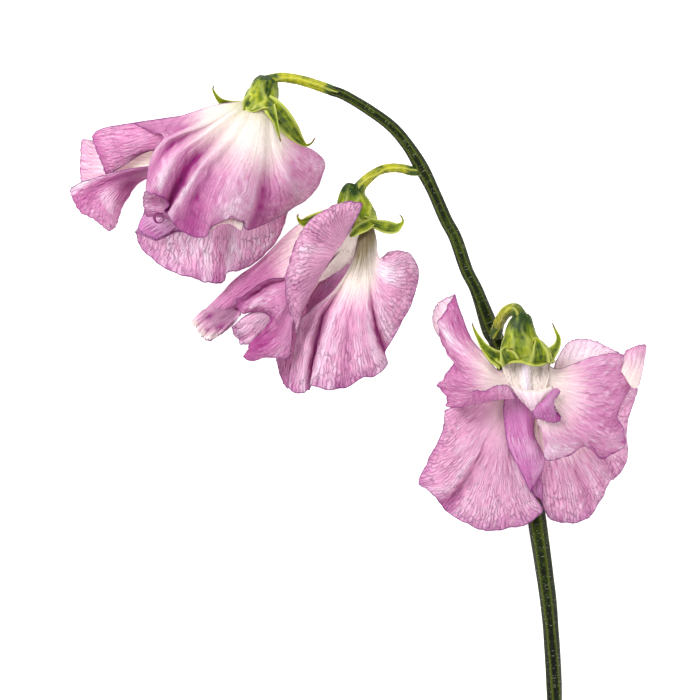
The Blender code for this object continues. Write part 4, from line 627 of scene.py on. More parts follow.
def drawing_shift() -> np.ndarray:
    """Finds how far the drawing's origin is from the part's, by where the stem lies in both.

    Returns:
        The shift along x, y and z, in mm.
    """
    low, high = (np.array(corner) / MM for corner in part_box("stem"))
    drawn_low, drawn_high = drawn_box(STEM_LINE)
    shift = (low + high - drawn_low - drawn_high) / 2
    shift[1] = low[1] - STEM_LINE[0][1]
    shift[2] = low[2] - drawn_low[2]
    return shift


SPRAY_SHIFT = drawing_shift()


# ---------------------------------------------------------------- small geometry tools

def smooth_curve(points: np.ndarray, count: int) -> np.ndarray:
    """Point positions spread evenly along a smooth curve.

    Args:
        points: The knots that the curve passes through, one per row.
        count: How many positions to return.

    Returns:
        The positions, one per row.
    """
    knots = np.asarray(points, dtype=float)
    last = len(knots) - 1
    padded = np.concatenate([[2 * knots[0] - knots[1]], knots, [2 * knots[-1] - knots[-2]]])
    where = np.linspace(0, last, count)
    index = np.clip(where.astype(int), 0, last - 1)
    t = (where - index).reshape((-1,) + (1,) * (knots.ndim - 1))
    a, b, c, d = (padded[index + k] for k in range(4))
    return 0.5 * (2 * b + (c - a) * t + (2 * a - 5 * b + 4 * c - d) * t ** 2
                  + (3 * b - a - 3 * c + d) * t ** 3)


def ring_ribs(centre: tuple[float, float], stations: tuple[tuple[float, float], ...],
              count: int = 13) -> list:
    """Ribs of a sheet that is rolled into a ring, seen end on.

    Args:
        centre: The ring's middle on the drawing plane, in mm.
        stations: Radius and height of each point of a rib, in mm.
        count: How many ribs there are, the last one on top of the first.

    Returns:
        The ribs, each a list of points.
    """
    return [[(centre[0] + radius * math.cos(turn), centre[1] + radius * math.sin(turn), height)
             for radius, height in stations]
            for turn in np.linspace(0, 2 * math.pi, count)]


def sheet_normals(sheet: np.ndarray) -> np.ndarray:
    """Unit normals of a grid of points.

    Args:
        sheet: Rows by columns by three coordinates.

    Returns:
        An array of the same shape.
    """
    along, across = np.gradient(sheet, axis=0), np.gradient(sheet, axis=1)
    normals = np.cross(across, along)
    return normals / np.maximum(np.linalg.norm(normals, axis=2, keepdims=True), TINY)


def blurred(grid: np.ndarray, radius: int) -> np.ndarray:
    """Averages a grid over a square window, twice, with its edges repeated.

    Args:
        grid: Rows by columns, with any further axes.
        radius: Half the window's side, in grid steps.

    Returns:
        The averaged grid, of the same shape.
    """
    result = grid
    for axis in (0, 1, 0, 1):
        pads = [(0, 0)] * result.ndim
        pads[axis] = (radius + 1, radius)
        total = np.cumsum(np.pad(result, pads, mode="edge"), axis=axis)
        width = 2 * radius + 1
        upper = np.take(total, range(width, total.shape[axis]), axis=axis)
        lower = np.take(total, range(0, total.shape[axis] - width), axis=axis)
        result = (upper - lower) / width
    return result


def eased(value: np.ndarray, start: float, end: float) -> np.ndarray:
    """A smooth rise from 0 at start to 1 at end."""
    share = np.clip((value - start) / (end - start), 0, 1)
    return share * share * (3 - 2 * share)


# Share of the crest count and height of each sine that makes up an uneven wave.
WAVE_PARTS = ((0.55, 0.45), (1.0, 0.6), (1.7, 0.35), (2.9, 0.15))


def waves(position: np.ndarray, count: float, seed: int) -> np.ndarray:
    """An uneven wave between about -1 and 1.

    Args:
        position: Where to read the wave, 0 to 1 over its whole length.
        count: How many crests there are about in the whole length.
        seed: Chooses the wave's shape.

    Returns:
        The wave's height at each position.
    """
    random = np.random.default_rng(seed)
    height = np.zeros_like(position)
    for share, weight in WAVE_PARTS:
        phase = random.uniform(0, 2 * math.pi)
        height += weight * np.sin(2 * math.pi * count * share * position + phase)
    return height


class GuideLine:
    """A smooth line through stations, with the directions that a tube or a blade is built on."""

    def __init__(self, stations: list, count: int) -> None:
        """Places the rings along the line.

        Args:
            stations: Position and size of each station, in mm.
            count: How many rings there are.
        """
        line = smooth_curve(np.array(stations), count)
        self.centres, self.size = line[:, :3], line[:, 3:]
        ahead = np.gradient(self.centres, axis=0)
        self.ahead = ahead / np.linalg.norm(ahead, axis=1, keepdims=True)
        side = np.cross(self.ahead, [0.0, 0.0, 1.0])
        self.side = side / np.maximum(np.linalg.norm(side, axis=1, keepdims=True), TINY)
        self.lift = np.cross(self.side, self.ahead)
        steps = np.linalg.norm(np.diff(self.centres, axis=0, prepend=self.centres[:1]), axis=1)
        self.travel = np.cumsum(steps)[:, None]

    def beside(self, out: np.ndarray, up: np.ndarray) -> np.ndarray:
        """Points this far to the side of the rings' centres and this far up from them, in mm."""
        return (self.centres[:, None] + out[..., None] * self.side[:, None]
                + up[..., None] * self.lift[:, None])


def set_down(points: np.ndarray) -> np.ndarray:
    """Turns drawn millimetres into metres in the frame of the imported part."""
    return (np.asarray(points).reshape(-1, 3) + SPRAY_SHIFT) * MM


def grid_faces(rows: int, columns: int, closed: bool = False) -> list[tuple[int, ...]]:
    """Quads of a grid of points.

    Args:
        rows: Number of rows of points.
        columns: Number of points in each row.
        closed: Whether the last column joins the first.

    Returns:
        The faces as corner numbers.
    """
    faces = []
    for row in range(rows - 1):
        for column in range(columns if closed else columns - 1):
            beside = (column + 1) % columns
            low, high = row * columns, (row + 1) * columns
            faces.append((low + column, low + beside, high + beside, high + column))
    return faces


def make_piece(name: str, points: np.ndarray, faces: list[tuple[int, ...]],
               material: bpy.types.Material, uv: np.ndarray | None = None,
               values: dict[str, np.ndarray] | None = None) -> bpy.types.Object:
    """Makes a smooth-shaded object at the origin.

    Args:
        name: The object's name.
        points: Positions in drawn millimetres.
        faces: Corner numbers of each face.
        material: The finish of the whole piece.
        uv: Two texture coordinates for each point, or None.
        values: Named numbers for each point, which the finish reads.

    Returns:
        The new object.
    """
    mesh = bpy.data.meshes.new(name)
    mesh.from_pydata(set_down(points).tolist(), [], faces)
    mesh.materials.append(material)
    mesh.shade_smooth()
    if uv is not None:
        corner_points = np.empty(len(mesh.loops), dtype=np.int32)
        mesh.loops.foreach_get("vertex_index", corner_points)
        layer = mesh.uv_layers.new(name="blade")
        layer.data.foreach_set("uv", uv.reshape(-1, 2)[corner_points].ravel())
    for key, numbers in (values or {}).items():
        mesh.attributes.new(key, "FLOAT", "POINT").data.foreach_set("value", numbers.ravel())
    piece = bpy.data.objects.new(name, mesh)
    bpy.context.scene.collection.objects.link(piece)
    return piece


def settle(piece: bpy.types.Object) -> None:
    """Turns a piece with modifiers into a plain mesh that faces outwards.

    Args:
        piece: The piece, which keeps its name and material.
    """
    graph = bpy.context.evaluated_depsgraph_get()
    mesh = bpy.data.meshes.new_from_object(piece.evaluated_get(graph))
    piece.modifiers.clear()
    piece.data = mesh
    shape = bmesh.new()
    shape.from_mesh(mesh)
    bmesh.ops.recalc_face_normals(shape, faces=shape.faces)
    if shape.calc_volume(signed=True) < 0:
        bmesh.ops.reverse_faces(shape, faces=shape.faces)
    shape.to_mesh(mesh)
    shape.free()
    mesh.shade_smooth()


def thicken(piece: bpy.types.Object, thickness: float) -> None:
    """Gives a sheet its thickness, as a closed shell.

    Args:
        piece: The sheet.
        thickness: How thick the shell is, in mm.
    """
    shell = piece.modifiers.new("Thickness", "SOLIDIFY")
    shell.thickness = thickness * MM
    shell.offset = 0.0
    shell.use_even_offset = False
    settle(piece)


def hand_over(piece: bpy.types.Object, node: str, slot: str) -> None:
    """Lets a finished piece ride on the part and stand for one of its nodes.

    Args:
        piece: The finished piece.
        node: The node of the part that it stands for.
        slot: Not used.
    """
    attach(piece, ROOT_BODY)
    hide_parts(node)
    log.info("%s: %d faces", piece.name, len(piece.data.polygons))


# ---------------------------------------------------------------- finishes

def linear(hex_colour: str) -> tuple[float, float, float, float]:
    """Turns an sRGB hex colour into linear red, green, blue and alpha."""
    channels = [int(hex_colour[k:k + 2], 16) / 255 for k in (1, 3, 5)]
    return (*(c / 12.92 if c <= 0.04045 else ((c + 0.055) / 1.055) ** 2.4 for c in channels), 1.0)


class Bench:
    """A node tree being built: one call adds a node with its settings and links."""

    def __init__(self, tree: bpy.types.NodeTree) -> None:
        """Starts on the tree, with all its nodes cleared."""
        self.tree = tree
        tree.nodes.clear()

    def add(self, kind: str, inputs: dict | None = None, output: int | str | None = 0,
            stops: tuple[tuple[float, str], ...] = (),
            **settings) -> NodeSocket | bpy.types.bpy_prop_collection:
        """Adds a node.

        Args:
            kind: The node's type name.
            inputs: A socket to link or a value to set, by the input's name or number.
            output: Which output to return, or None for all of them.
            stops: Positions and sRGB hex colours of a colour ramp.
            **settings: Properties of the node.

        Returns:
            The output socket, or the whole row of outputs, also where it is empty.
        """
        node = self.tree.nodes.new(kind)
        for key, value in settings.items():
            setattr(node, key, value)
        for key, value in (inputs or {}).items():
            if isinstance(value, NodeSocket):
                self.tree.links.new(value, node.inputs[key])
            else:
                node.inputs[key].default_value = value
        for number, (position, colour) in enumerate(stops):
            elements = node.color_ramp.elements
            stop = elements[number] if number < 2 else elements.new(position)
            stop.position, stop.color = position, linear(colour)
        return node.outputs if output is None or not len(node.outputs) else node.outputs[output]


def new_bench(name: str) -> tuple[bpy.types.Material, Bench]:
    """Makes an empty material.

    Args:
        name: The material's name.

    Returns:
        The material and the bench for its nodes.
    """
    material = bpy.data.materials.new(name)
    material.use_nodes = True
    return material, Bench(material.node_tree)


@dataclass(frozen=True)
class PetalFinish:
    """Fresh petal skin: thin, satin and lit through, with painted shade in folds, a painted highlight on
    crests and veins that show dark.

    The claw is greenish cream, the throat white, and the blade turns lilac pink towards
    the margin, which carries a hair-thin purple line.  Forked veins run out from the claw
    and close into a net near the margin.
    """

    name: str
    claw: str = "#E8E4C0"
    throat: str = "#FDF6EE"
    blade: str = "#E5A3CE"
    rim: str = "#CF7CB6"
    blush_and_shade: str = "#B52F92"
    vein: str = "#A24F8C"
    margin: str = "#8E3F86"
    pale_and_highlight: str = "#FFF6FD"
    claw_end: float = 0.02
    throat_start: float = 0.12
    throat_end: float = 0.24
    blade_start: float = 0.52
    vein_strength: float = 0.42
    streak_strength: float = 0.5
    vein_spacing: float = 0.8
    roughness: float = 0.5
    light_through: float = 0.45

    def bent_blade(self, add: Callable, place: NodeSocket) -> NodeSocket:
        """Bends the blade's own coordinates, so that veins wander instead of running straight.

        Args:
            add: Adds a node to the material.
            place: The position on the part, in mm.

        Returns:
            Distance across the ribs and along them, in mm.
        """
        bent = add("ShaderNodeUVMap", uv_map="blade")
        for scale, detail, reach in ((0.45, 2.0, (1.3, 2.2, 0.0)), (1.3, 1.0, (0.8, 1.2, 0.0))):
            drift = add("ShaderNodeTexNoise", {"Vector": place, "Scale": scale, "Detail": detail},
                        output="Color")
            centred = add("ShaderNodeVectorMath", {0: drift, 1: (0.5, 0.5, 0.5)}, operation="SUBTRACT")
            bent = add("ShaderNodeVectorMath", {0: centred, 1: reach, 2: bent}, operation="MULTIPLY_ADD")
        return bent

    def veins(self, add: Callable, place: NodeSocket, bent: NodeSocket, along: NodeSocket) -> NodeSocket:
        """Draws veins that fan out from the claw, fork on the way and close into a net.

        Args:
            add: Adds a node to the material.
            place: The position on the part, in mm.
            bent: The bent coordinates of the blade.
            along: The share of the way from claw to margin.

        Returns:
            How strongly a vein shows, 0 to 1.
        """
        aside = add("ShaderNodeSeparateXYZ", {"Vector": bent})
        forked = add("ShaderNodeMath", {0: aside, 1: self.vein_spacing})
        lines = []
        for across, first, last in ((aside, 0.12, 0.40), (forked, 0.42, 0.62)):
            off = add("ShaderNodeMath", {0: across, 1: self.vein_spacing}, operation="PINGPONG")
            line = add("ShaderNodeMapRange", {"Value": off, "From Max": 0.13, "To Min": 0.85, "To Max": 0.0},
                       interpolation_type="SMOOTHSTEP")
            since = add("ShaderNodeMapRange", {"Value": along, "From Min": first, "From Max": last})
            lines.append(add("ShaderNodeMath", {0: line, 1: since}, operation="MULTIPLY"))
        cell_size = (1 / (self.vein_spacing * 1.25), 1 / (self.vein_spacing * 4.6), 1.0)
        cell_place = add("ShaderNodeMapping", {"Vector": bent, "Scale": cell_size})
        gap = add("ShaderNodeTexVoronoi", {"Vector": cell_place, "Scale": 1.0, "Randomness": 0.95},
                  output="Distance", voronoi_dimensions="2D", feature="DISTANCE_TO_EDGE")
        net = add("ShaderNodeMapRange", {"Value": gap, "From Max": 0.09, "To Min": 0.78, "To Max": 0.0},
                  interpolation_type="SMOOTHSTEP")
        since = add("ShaderNodeMapRange", {"Value": along, "From Min": 0.40, "From Max": 0.75})
        lines.append(add("ShaderNodeMath", {0: net, 1: since}, operation="MULTIPLY"))
        veins = lines[0]
        for line in lines[1:]:
            veins = add("ShaderNodeMath", {0: veins, 1: line}, operation="MAXIMUM")
        faint = add("ShaderNodeTexNoise", {"Vector": place, "Scale": 0.5, "Detail": 1.0})
        shown = add("ShaderNodeMapRange", {"Value": faint, "From Min": 0.35, "From Max": 0.6,
                                           "To Min": self.vein_strength * 0.45, "To Max": self.vein_strength})
        return add("ShaderNodeMath", {0: veins, 1: shown}, operation="MULTIPLY")

    def ground(self, add: Callable, bent: NodeSocket, along: NodeSocket, streak: NodeSocket) -> NodeSocket:
        """Grades the colour from claw to margin, broken up by soft and by fine streaks.

        Args:
            add: Adds a node to the material.
            bent: The bent coordinates of the blade.
            along: The share of the way from claw to margin.
            streak: Soft streaks that run with the ribs.

        Returns:
            The colour beneath folds and veins.
        """
        uneven = add("ShaderNodeMath", {0: streak, 1: 0.44, 2: along}, operation="MULTIPLY_ADD")
        uneven = add("ShaderNodeMath", {0: uneven, 1: 0.22}, operation="SUBTRACT")
        colour = add("ShaderNodeValToRGB", {"Fac": uneven}, stops=(
            (self.claw_end, self.claw), (1.0, self.rim), (self.throat_start, self.throat),
            (self.throat_end, self.throat), (self.blade_start, self.blade), (0.86, self.blade)))
        hair_place = add("ShaderNodeMapping", {"Vector": bent, "Scale": (3.2, 0.15, 1.0)})
        hair = add("ShaderNodeTexNoise", {"Vector": hair_place, "Scale": 1.0, "Detail": 2.0})
        hair = add("ShaderNodeMapRange", {"Value": hair, "From Min": 0.50, "From Max": 0.68,
                                          "To Min": 0.0, "To Max": self.streak_strength})
        since = add("ShaderNodeMapRange", {"Value": along, "From Min": 0.18, "From Max": 0.55})
        hair = add("ShaderNodeMath", {0: hair, 1: since}, operation="MULTIPLY")
        return add("ShaderNodeMix", {0: hair, 6: colour, 7: linear(self.rim)}, output=2,
                   data_type="RGBA", blend_type="MULTIPLY")

    def folded(self, add: Callable, colour: NodeSocket, place: NodeSocket, along: NodeSocket) -> NodeSocket:
        """Paints shade into folds and deepens the patches of true flush, and paints a highlight on raised
        places and pales the paler patches.

        Args:
            add: Adds a node to the material.
            colour: The colour beneath.
            place: The position on the part, in mm.
            along: The share of the way from claw to margin.

        Returns:
            The colour with its folds.
        """
        blush_and_painted_light = add("ShaderNodeAttribute", output="Fac", attribute_name="blush_and_painted_light")
        fold_shade_and_highlight = add("ShaderNodeAttribute", output="Fac", attribute_name="fold_shade_and_highlight")
        cloud = add("ShaderNodeTexNoise", {"Vector": place, "Scale": 0.28, "Detail": 4.0})
        cloud = add("ShaderNodeMapRange", {"Value": cloud, "From Min": 0.36, "From Max": 0.64,
                                           "To Min": -0.06, "To Max": 0.09})
        tint = add("ShaderNodeMath", {0: fold_shade_and_highlight, 1: blush_and_painted_light}, operation="ADD")
        tint = add("ShaderNodeMath", {0: tint, 1: cloud}, operation="ADD")
        since = add("ShaderNodeMapRange", {"Value": along, "From Min": 0.05, "From Max": 0.45,
                                           "To Min": 0.15})
        # Painted shade in folds, mixed with the patches of true flush, takes the deep colour.
        deep = add("ShaderNodeMath", {0: tint, 1: since}, operation="MULTIPLY", use_clamp=True)
        colour = add("ShaderNodeMix", {0: deep, 6: colour, 7: linear(self.blush_and_shade)}, output=2, data_type="RGBA")
        # Painted highlight on crests, mixed with the truly paler patches, takes the pale colour.
        pale = add("ShaderNodeMath", {0: tint, 1: -1.1}, operation="MULTIPLY", use_clamp=True)
        return add("ShaderNodeMix", {0: pale, 6: colour, 7: linear(self.pale_and_highlight)}, output=2, data_type="RGBA")

    def make(self) -> bpy.types.Material:
        """Builds the material: coloured satin skin mixed with the light that comes through it.

        Returns:
            The material.
        """
        material, bench = new_bench(self.name)
        add = bench.add
        along = add("ShaderNodeAttribute", output="Fac", attribute_name="along")
        edge = add("ShaderNodeAttribute", output="Fac", attribute_name="edge")
        place = add("ShaderNodeVectorMath", {0: add("ShaderNodeTexCoord", output="Object"), "Scale": 1 / MM},
                    operation="SCALE")
        bent = self.bent_blade(add, place)
        veins = self.veins(add, place, bent, along)
        streak_place = add("ShaderNodeMapping", {"Vector": bent, "Scale": (1.5, 0.09, 1.0)})
        streak = add("ShaderNodeTexNoise", {"Vector": streak_place, "Scale": 1.0, "Detail": 4.0,
                                            "Roughness": 0.6})
        colour = self.folded(add, self.ground(add, bent, along, streak), place, along)
        colour = add("ShaderNodeMix", {0: veins, 6: colour, 7: linear(self.vein)}, output=2, data_type="RGBA")
        line = add("ShaderNodeMapRange", {"Value": edge, "From Min": 0.08, "From Max": 0.36,
                                          "To Min": 0.75, "To Max": 0.0})
        colour = add("ShaderNodeMix", {0: line, 6: colour, 7: linear(self.margin)}, output=2,
                     data_type="RGBA")

        grain = add("ShaderNodeTexNoise", {"Vector": place, "Scale": 1.9, "Detail": 4.0, "Roughness": 0.65})
        # The grain also scales the colour a little: painted glints on the skin's cells.
        painted_glint = add("ShaderNodeMapRange", {"Value": grain, "From Min": 0.35, "From Max": 0.65,
                                             "To Min": 0.90, "To Max": 1.06})
        lit = add("ShaderNodeVectorMath", {0: colour, "Scale": painted_glint}, operation="SCALE")
        relief = add("ShaderNodeMath", {0: veins, 1: -2.0, 2: grain}, operation="MULTIPLY_ADD")
        relief = add("ShaderNodeMath", {0: streak, 1: 1.6, 2: relief}, operation="MULTIPLY_ADD")
        bump = add("ShaderNodeBump", {"Height": relief, "Strength": 0.75, "Distance": 0.22 * MM},
                   output="Normal")
        skin = add("ShaderNodeBsdfPrincipled", {
            "Base Color": lit, "Normal": bump, "Roughness": self.roughness, "Specular IOR Level": 0.35,
            "Sheen Weight": 0.12, "Sheen Roughness": 0.4})
        glow_colour = add("ShaderNodeGamma", {"Color": colour, "Gamma": 1.2})
        glow = add("ShaderNodeBsdfTranslucent", {"Color": glow_colour, "Normal": bump})
        both = add("ShaderNodeMixShader", {"Fac": self.light_through, 1: skin, 2: glow})
        add("ShaderNodeOutputMaterial", {"Surface": both})
        return material


@dataclass(frozen=True)
class GreenFinish:
    """Living green skin: waxy and striped along its length, with a painted highlight on its ridges.

    Stripes follow the length, darker patches break them up, ridges are painted paler, painted
    shade darkens ends, joints and dents, and the tips of the calyx teeth dry to brown.
    """

    name: str
    dark: str
    middle: str
    light: str
    ridge_highlight: str
    tip: str = "#6B4A1E"
    dot: str = "#DCE3B8"
    stripe: float = 2.2
    patch: float = 0.22
    speck: float = 0.0
    roughness: float = 0.5
    gloss: float = 0.3
    light_through: float = 0.0

    def make(self) -> bpy.types.Material:
        """Builds the material: striped, speckled skin with paler ridges and dry tips.

        Returns:
            The material.
        """
        material, bench = new_bench(self.name)
        add = bench.add
        skin_map = add("ShaderNodeUVMap", uv_map="blade")
        ridge_highlight, dry, painted_shade = (add("ShaderNodeAttribute", output="Fac", attribute_name=name)
                           for name in ("ridge_highlight", "dry", "painted_shade"))
        place = add("ShaderNodeVectorMath", {0: add("ShaderNodeTexCoord", output="Object"), "Scale": 1 / MM},
                    operation="SCALE")
        stripe_place = add("ShaderNodeMapping", {"Vector": skin_map, "Scale": (self.stripe, 0.16, 1.0)})
        stripe = add("ShaderNodeTexNoise", {"Vector": stripe_place, "Scale": 1.0, "Detail": 4.0,
                                            "Roughness": 0.65})
        patch = add("ShaderNodeTexNoise", {"Vector": place, "Scale": self.patch * 4, "Detail": 3.0})
        tone = add("ShaderNodeMath", {0: patch, 1: 0.8, 2: stripe}, operation="MULTIPLY_ADD")
        tone = add("ShaderNodeMapRange", {"Value": tone, "From Min": 0.62, "From Max": 1.18})
        # Painted shade: the tone darkens where the shade value is above 0 and lightens where it is below.
        tone = add("ShaderNodeMath", {0: tone, 1: painted_shade}, operation="SUBTRACT", use_clamp=True)
        colour = add("ShaderNodeValToRGB", {"Fac": tone},
                     stops=((0.1, self.dark), (0.95, self.light), (0.5, self.middle)))
        # Painted highlight: the ridges turn towards the pale highlight colour.
        colour = add("ShaderNodeMix", {0: ridge_highlight, 6: colour, 7: linear(self.ridge_highlight)}, output=2,
                     data_type="RGBA")
        dots_place = add("ShaderNodeMapping", {"Vector": skin_map, "Scale": (1.5, 1.1, 1.0)})
        dots = add("ShaderNodeTexVoronoi", {"Vector": dots_place, "Scale": 1.6}, output="Distance",
                   voronoi_dimensions="2D")
        dots = add("ShaderNodeMapRange", {"Value": dots, "From Min": 0.06, "From Max": 0.16,
                                          "To Min": self.speck, "To Max": 0.0})
        colour = add("ShaderNodeMix", {0: dots, 6: colour, 7: linear(self.dot)}, output=2, data_type="RGBA")
        colour = add("ShaderNodeMix", {0: dry, 6: colour, 7: linear(self.tip)}, output=2, data_type="RGBA")
        relief = add("ShaderNodeMath", {0: patch, 1: 0.5, 2: stripe}, operation="MULTIPLY_ADD")
        bump = add("ShaderNodeBump", {"Height": relief, "Strength": 0.7, "Distance": 0.18 * MM},
                   output="Normal")
        skin = add("ShaderNodeBsdfPrincipled", {
            "Base Color": colour, "Normal": bump, "Roughness": self.roughness,
            "Specular IOR Level": self.gloss})
        surface = skin
        if self.light_through:
            glow = add("ShaderNodeBsdfTranslucent", {"Color": colour, "Normal": bump})
            surface = add("ShaderNodeMixShader", {"Fac": self.light_through, 1: skin, 2: glow})
        add("ShaderNodeOutputMaterial", {"Surface": surface})
        return material


# ---------------------------------------------------------------- petals

RIM_NOTCHES = 11
CRINKLES_ACROSS, CRINKLES_ALONG = 16, 5
CRINKLE_HEIGHT = 0.10
# How much of a sheet's width a roll takes to come in, and the least turn that counts.
ROLL_RUN_IN = 0.06
LEAST_ROLL = 0.01
# Past the reach of the margin's purple line, in mm.
FAR_FROM_MARGIN = 9.0
# How wide the folds are measured, in steps of the net, and how strongly their painted shade deepens the
# colour.
FOLD_SCALES = ((3, 2.4), (8, 1.1))


class Skin(Enum):
    """Which finish a sheet has; each value is the name of one of the part's slots."""

    STANDARD = "petal_pink"
    WING = "petal_pale"
    KEEL = "petal_deep"


@dataclass(frozen=True)
class Ruffle:
    """Waves that grow towards the rim: height in mm, crests, where they start, shape."""

    height: float
    crests: float
    start: float
    seed: int


@dataclass(frozen=True)
class Roll:
    """A stretch of the rim rolled over, by a turn in degrees within a reach in mm."""

    start: float
    end: float
    reach: float
    turn: float


@dataclass(frozen=True)
class BlushAndPaintedLight:
    """A patch of deeper colour, partly true pink flush and partly painted shade; with strength below 0 it
    pales the colour, partly paler tissue and partly a painted highlight.
    """

    across: float
    along: float
    width: float
    length: float
    strength: float


@dataclass
class Petal:
    """One sheet of a petal: a thin closed shell over a net of ribs, ruffled and rolled."""

    node: str
    name: str
    skin: Skin
    ribs: list
    ruffles: tuple[Ruffle, ...] = ()
    rolls: tuple[Roll, ...] = ()
    blushes_and_painted_light: tuple[BlushAndPaintedLight, ...] = ()
    reach: tuple[float, float] = (0.0, 1.0)
    thickness: float = 0.16
    across: int = 160
    along: int = 90
    ragged: float = 0.12
    fold_paint_strength: float = 1.0
    lined: bool = True
    seed: int = 1

    def __post_init__(self) -> None:
        """Spreads the sheet's own coordinates, u across the ribs and v from claw to rim."""
        self.u = np.linspace(0, 1, self.across + 1)[None, :, None]
        self.v = np.linspace(0, 1, self.along + 1)[:, None, None]

    def shape(self) -> np.ndarray:
        """Works out the sheet's middle surface.

        Returns:
            Rows of points from claw to rim.
        """
        lines = smooth_curve(np.array(self.ribs).transpose(1, 0, 2), self.along + 1)
        sheet = smooth_curve(lines.transpose(1, 0, 2), self.across + 1).transpose(1, 0, 2)
        outward = sheet[-1] - sheet[-6]
        outward /= np.maximum(np.linalg.norm(outward, axis=1, keepdims=True), TINY)
        notches = waves(self.u[0], RIM_NOTCHES, self.seed) * self.ragged
        sheet = sheet + outward[None] * notches[None] * eased(self.v, 0.7, 1.0)
        sheet = self.ruffled(sheet, self.facing(sheet))
        for roll in self.rolls:
            sheet = self.rolled(sheet, roll)
        return sheet

    def facing(self, sheet: np.ndarray) -> np.ndarray:
        """Normals of the sheet, on the side that looks away from the table."""
        normals = sheet_normals(sheet)
        return normals if normals[..., 2].mean() > 0 else -normals

    def ruffled(self, sheet: np.ndarray, normals: np.ndarray) -> np.ndarray:
        """Adds the ruffles, and the faint crinkles that a living petal has all over.

        Args:
            sheet: The sheet's points.
            normals: Its unit normals.

        Returns:
            The ruffled sheet.
        """
        for ruffle in self.ruffles:
            rise = eased(self.v, ruffle.start, 1.15) ** 1.3
            crests = waves(self.u + 0.05 * self.v, ruffle.crests, ruffle.seed)
            sheet = sheet + normals * rise * crests * ruffle.height
        crinkle = waves(self.u + 0.13 * self.v, CRINKLES_ACROSS, self.seed + 40)
        crinkle = crinkle * waves(self.v, CRINKLES_ALONG, self.seed + 41)
        return sheet + normals * crinkle * eased(self.v, 0.1, 0.6) * CRINKLE_HEIGHT

    def rolled(self, sheet: np.ndarray, roll: Roll) -> np.ndarray:
        """Rolls a stretch of the rim over.

        Args:
            sheet: The sheet's points.
            roll: Where it rolls, and how far.

        Returns:
            The rolled sheet.
        """
        turned = sheet.copy()
        normals = self.facing(turned)
        steps = np.linalg.norm(np.diff(turned, axis=0), axis=2)
        place = np.linspace(0, 1, turned.shape[1])
        soft = min(ROLL_RUN_IN, (roll.end - roll.start) / 3)
        share = eased(place, roll.start, roll.start + soft) * (1 - eased(place, roll.end - soft, roll.end))
        for column in np.nonzero(share > LEAST_ROLL)[0]:
            to_rim = np.append(np.cumsum(steps[::-1, column])[::-1], 0.0)
            first = int(np.argmax(to_rim < roll.reach)) - 1
            if first < 2:
                continue
            ahead = turned[first, column] - turned[first - 2, column]
            ahead /= np.linalg.norm(ahead)
            up = normals[first, column]
            angle = math.radians(roll.turn) * share[column]
            gone = to_rim[first] - to_rim[first:]
            radius = to_rim[first] / angle
            bent = (turned[first, column] + np.outer(np.sin(gone / radius) * radius, ahead)
                    + np.outer((1 - np.cos(gone / radius)) * radius, up))
            blend_in = min(1.0, abs(angle) * 2)
            turned[first:, column] = bent * blend_in + turned[first:, column] * (1 - blend_in)
        return turned

    def edge_distance(self, sheet: np.ndarray) -> np.ndarray:
        """Measures how far each point is from the nearest free margin.

        Args:
            sheet: The sheet's points.

        Returns:
            The distances in mm, or a far one throughout where the sheet has no margin line.
        """
        down = np.linalg.norm(np.diff(sheet, axis=0), axis=2)
        over = np.linalg.norm(np.diff(sheet, axis=1), axis=2)
        to_rim = np.vstack([np.cumsum(down[::-1], axis=0)[::-1], np.zeros((1, sheet.shape[1]))])
        from_first = np.hstack([np.zeros((sheet.shape[0], 1)), np.cumsum(over, axis=1)])
        from_last = from_first[:, -1:] - from_first
        to_margin = np.minimum(to_rim, np.minimum(from_first, from_last))
        return to_margin if self.lined else np.full_like(to_margin, FAR_FROM_MARGIN)

    def painted_fold_light(self, sheet: np.ndarray) -> np.ndarray:
        """Measures how deep each point lies in folds, for painted shade there and a painted highlight on
        crests.

        Args:
            sheet: The sheet's points.

        Returns:
            Above 0 down in folds, where shade is painted; below 0 on a crest, where a highlight is painted.
        """
        normals = self.facing(sheet)
        tint = np.zeros(sheet.shape[:2])
        for radius, weight in FOLD_SCALES:
            fold_shade_and_highlight = ((blurred(sheet, radius) - sheet) * normals).sum(axis=2)
            tint += np.clip(fold_shade_and_highlight * weight, -0.4, 0.9)
        return np.clip(tint * self.fold_paint_strength, -0.45, 0.85)

    def blush_and_light_map(self) -> np.ndarray:
        """Adds up the patches of deeper and paler colour, partly painted shade and painted highlights.

        Returns:
            Above 0 where the colour is deeper, below 0 where it is paler.
        """
        total = np.zeros((self.along + 1, self.across + 1))
        for spot in self.blushes_and_painted_light:
            total += spot.strength * np.exp(-((self.u[..., 0] - spot.across) / spot.width) ** 2
                                            - ((self.v[..., 0] - spot.along) / spot.length) ** 2)
        return total

    def build(self, finishes: dict[Skin, bpy.types.Material]) -> bpy.types.Object:
        """Makes the sheet, dresses it and hands it over.

        Args:
            finishes: The material of each skin.

        Returns:
            The finished sheet.
        """
        sheet = self.shape()
        width = np.linalg.norm(np.diff(sheet[-1], axis=0), axis=1).sum()
        length = np.linalg.norm(np.diff(sheet[:, sheet.shape[1] // 2], axis=0), axis=1).sum()
        shape = (self.along + 1, self.across + 1)
        uv = np.stack([np.broadcast_to((self.u[..., 0] - 0.5) * width, shape),
                       np.broadcast_to(self.v[..., 0] * length, shape)], axis=2)
        reached = self.reach[0] + (self.reach[1] - self.reach[0]) * self.v[..., 0]
        values = {"along": np.broadcast_to(reached, shape).copy(), "blush_and_painted_light": self.blush_and_light_map(),
                  "edge": self.edge_distance(sheet), "fold_shade_and_highlight": self.painted_fold_light(sheet)}
        piece = make_piece(f"{self.name}_petal", sheet, grid_faces(*shape), finishes[self.skin], uv, values)
        thicken(piece, self.thickness)
        hand_over(piece, self.node, self.skin.value)
        return piece


# ---------------------------------------------------------------- stem, stalks and calyces

# Half the width in mm that a round piece's skin has in texture coordinates; it mirrors at the back.
SKIN_WRAP = 3.0


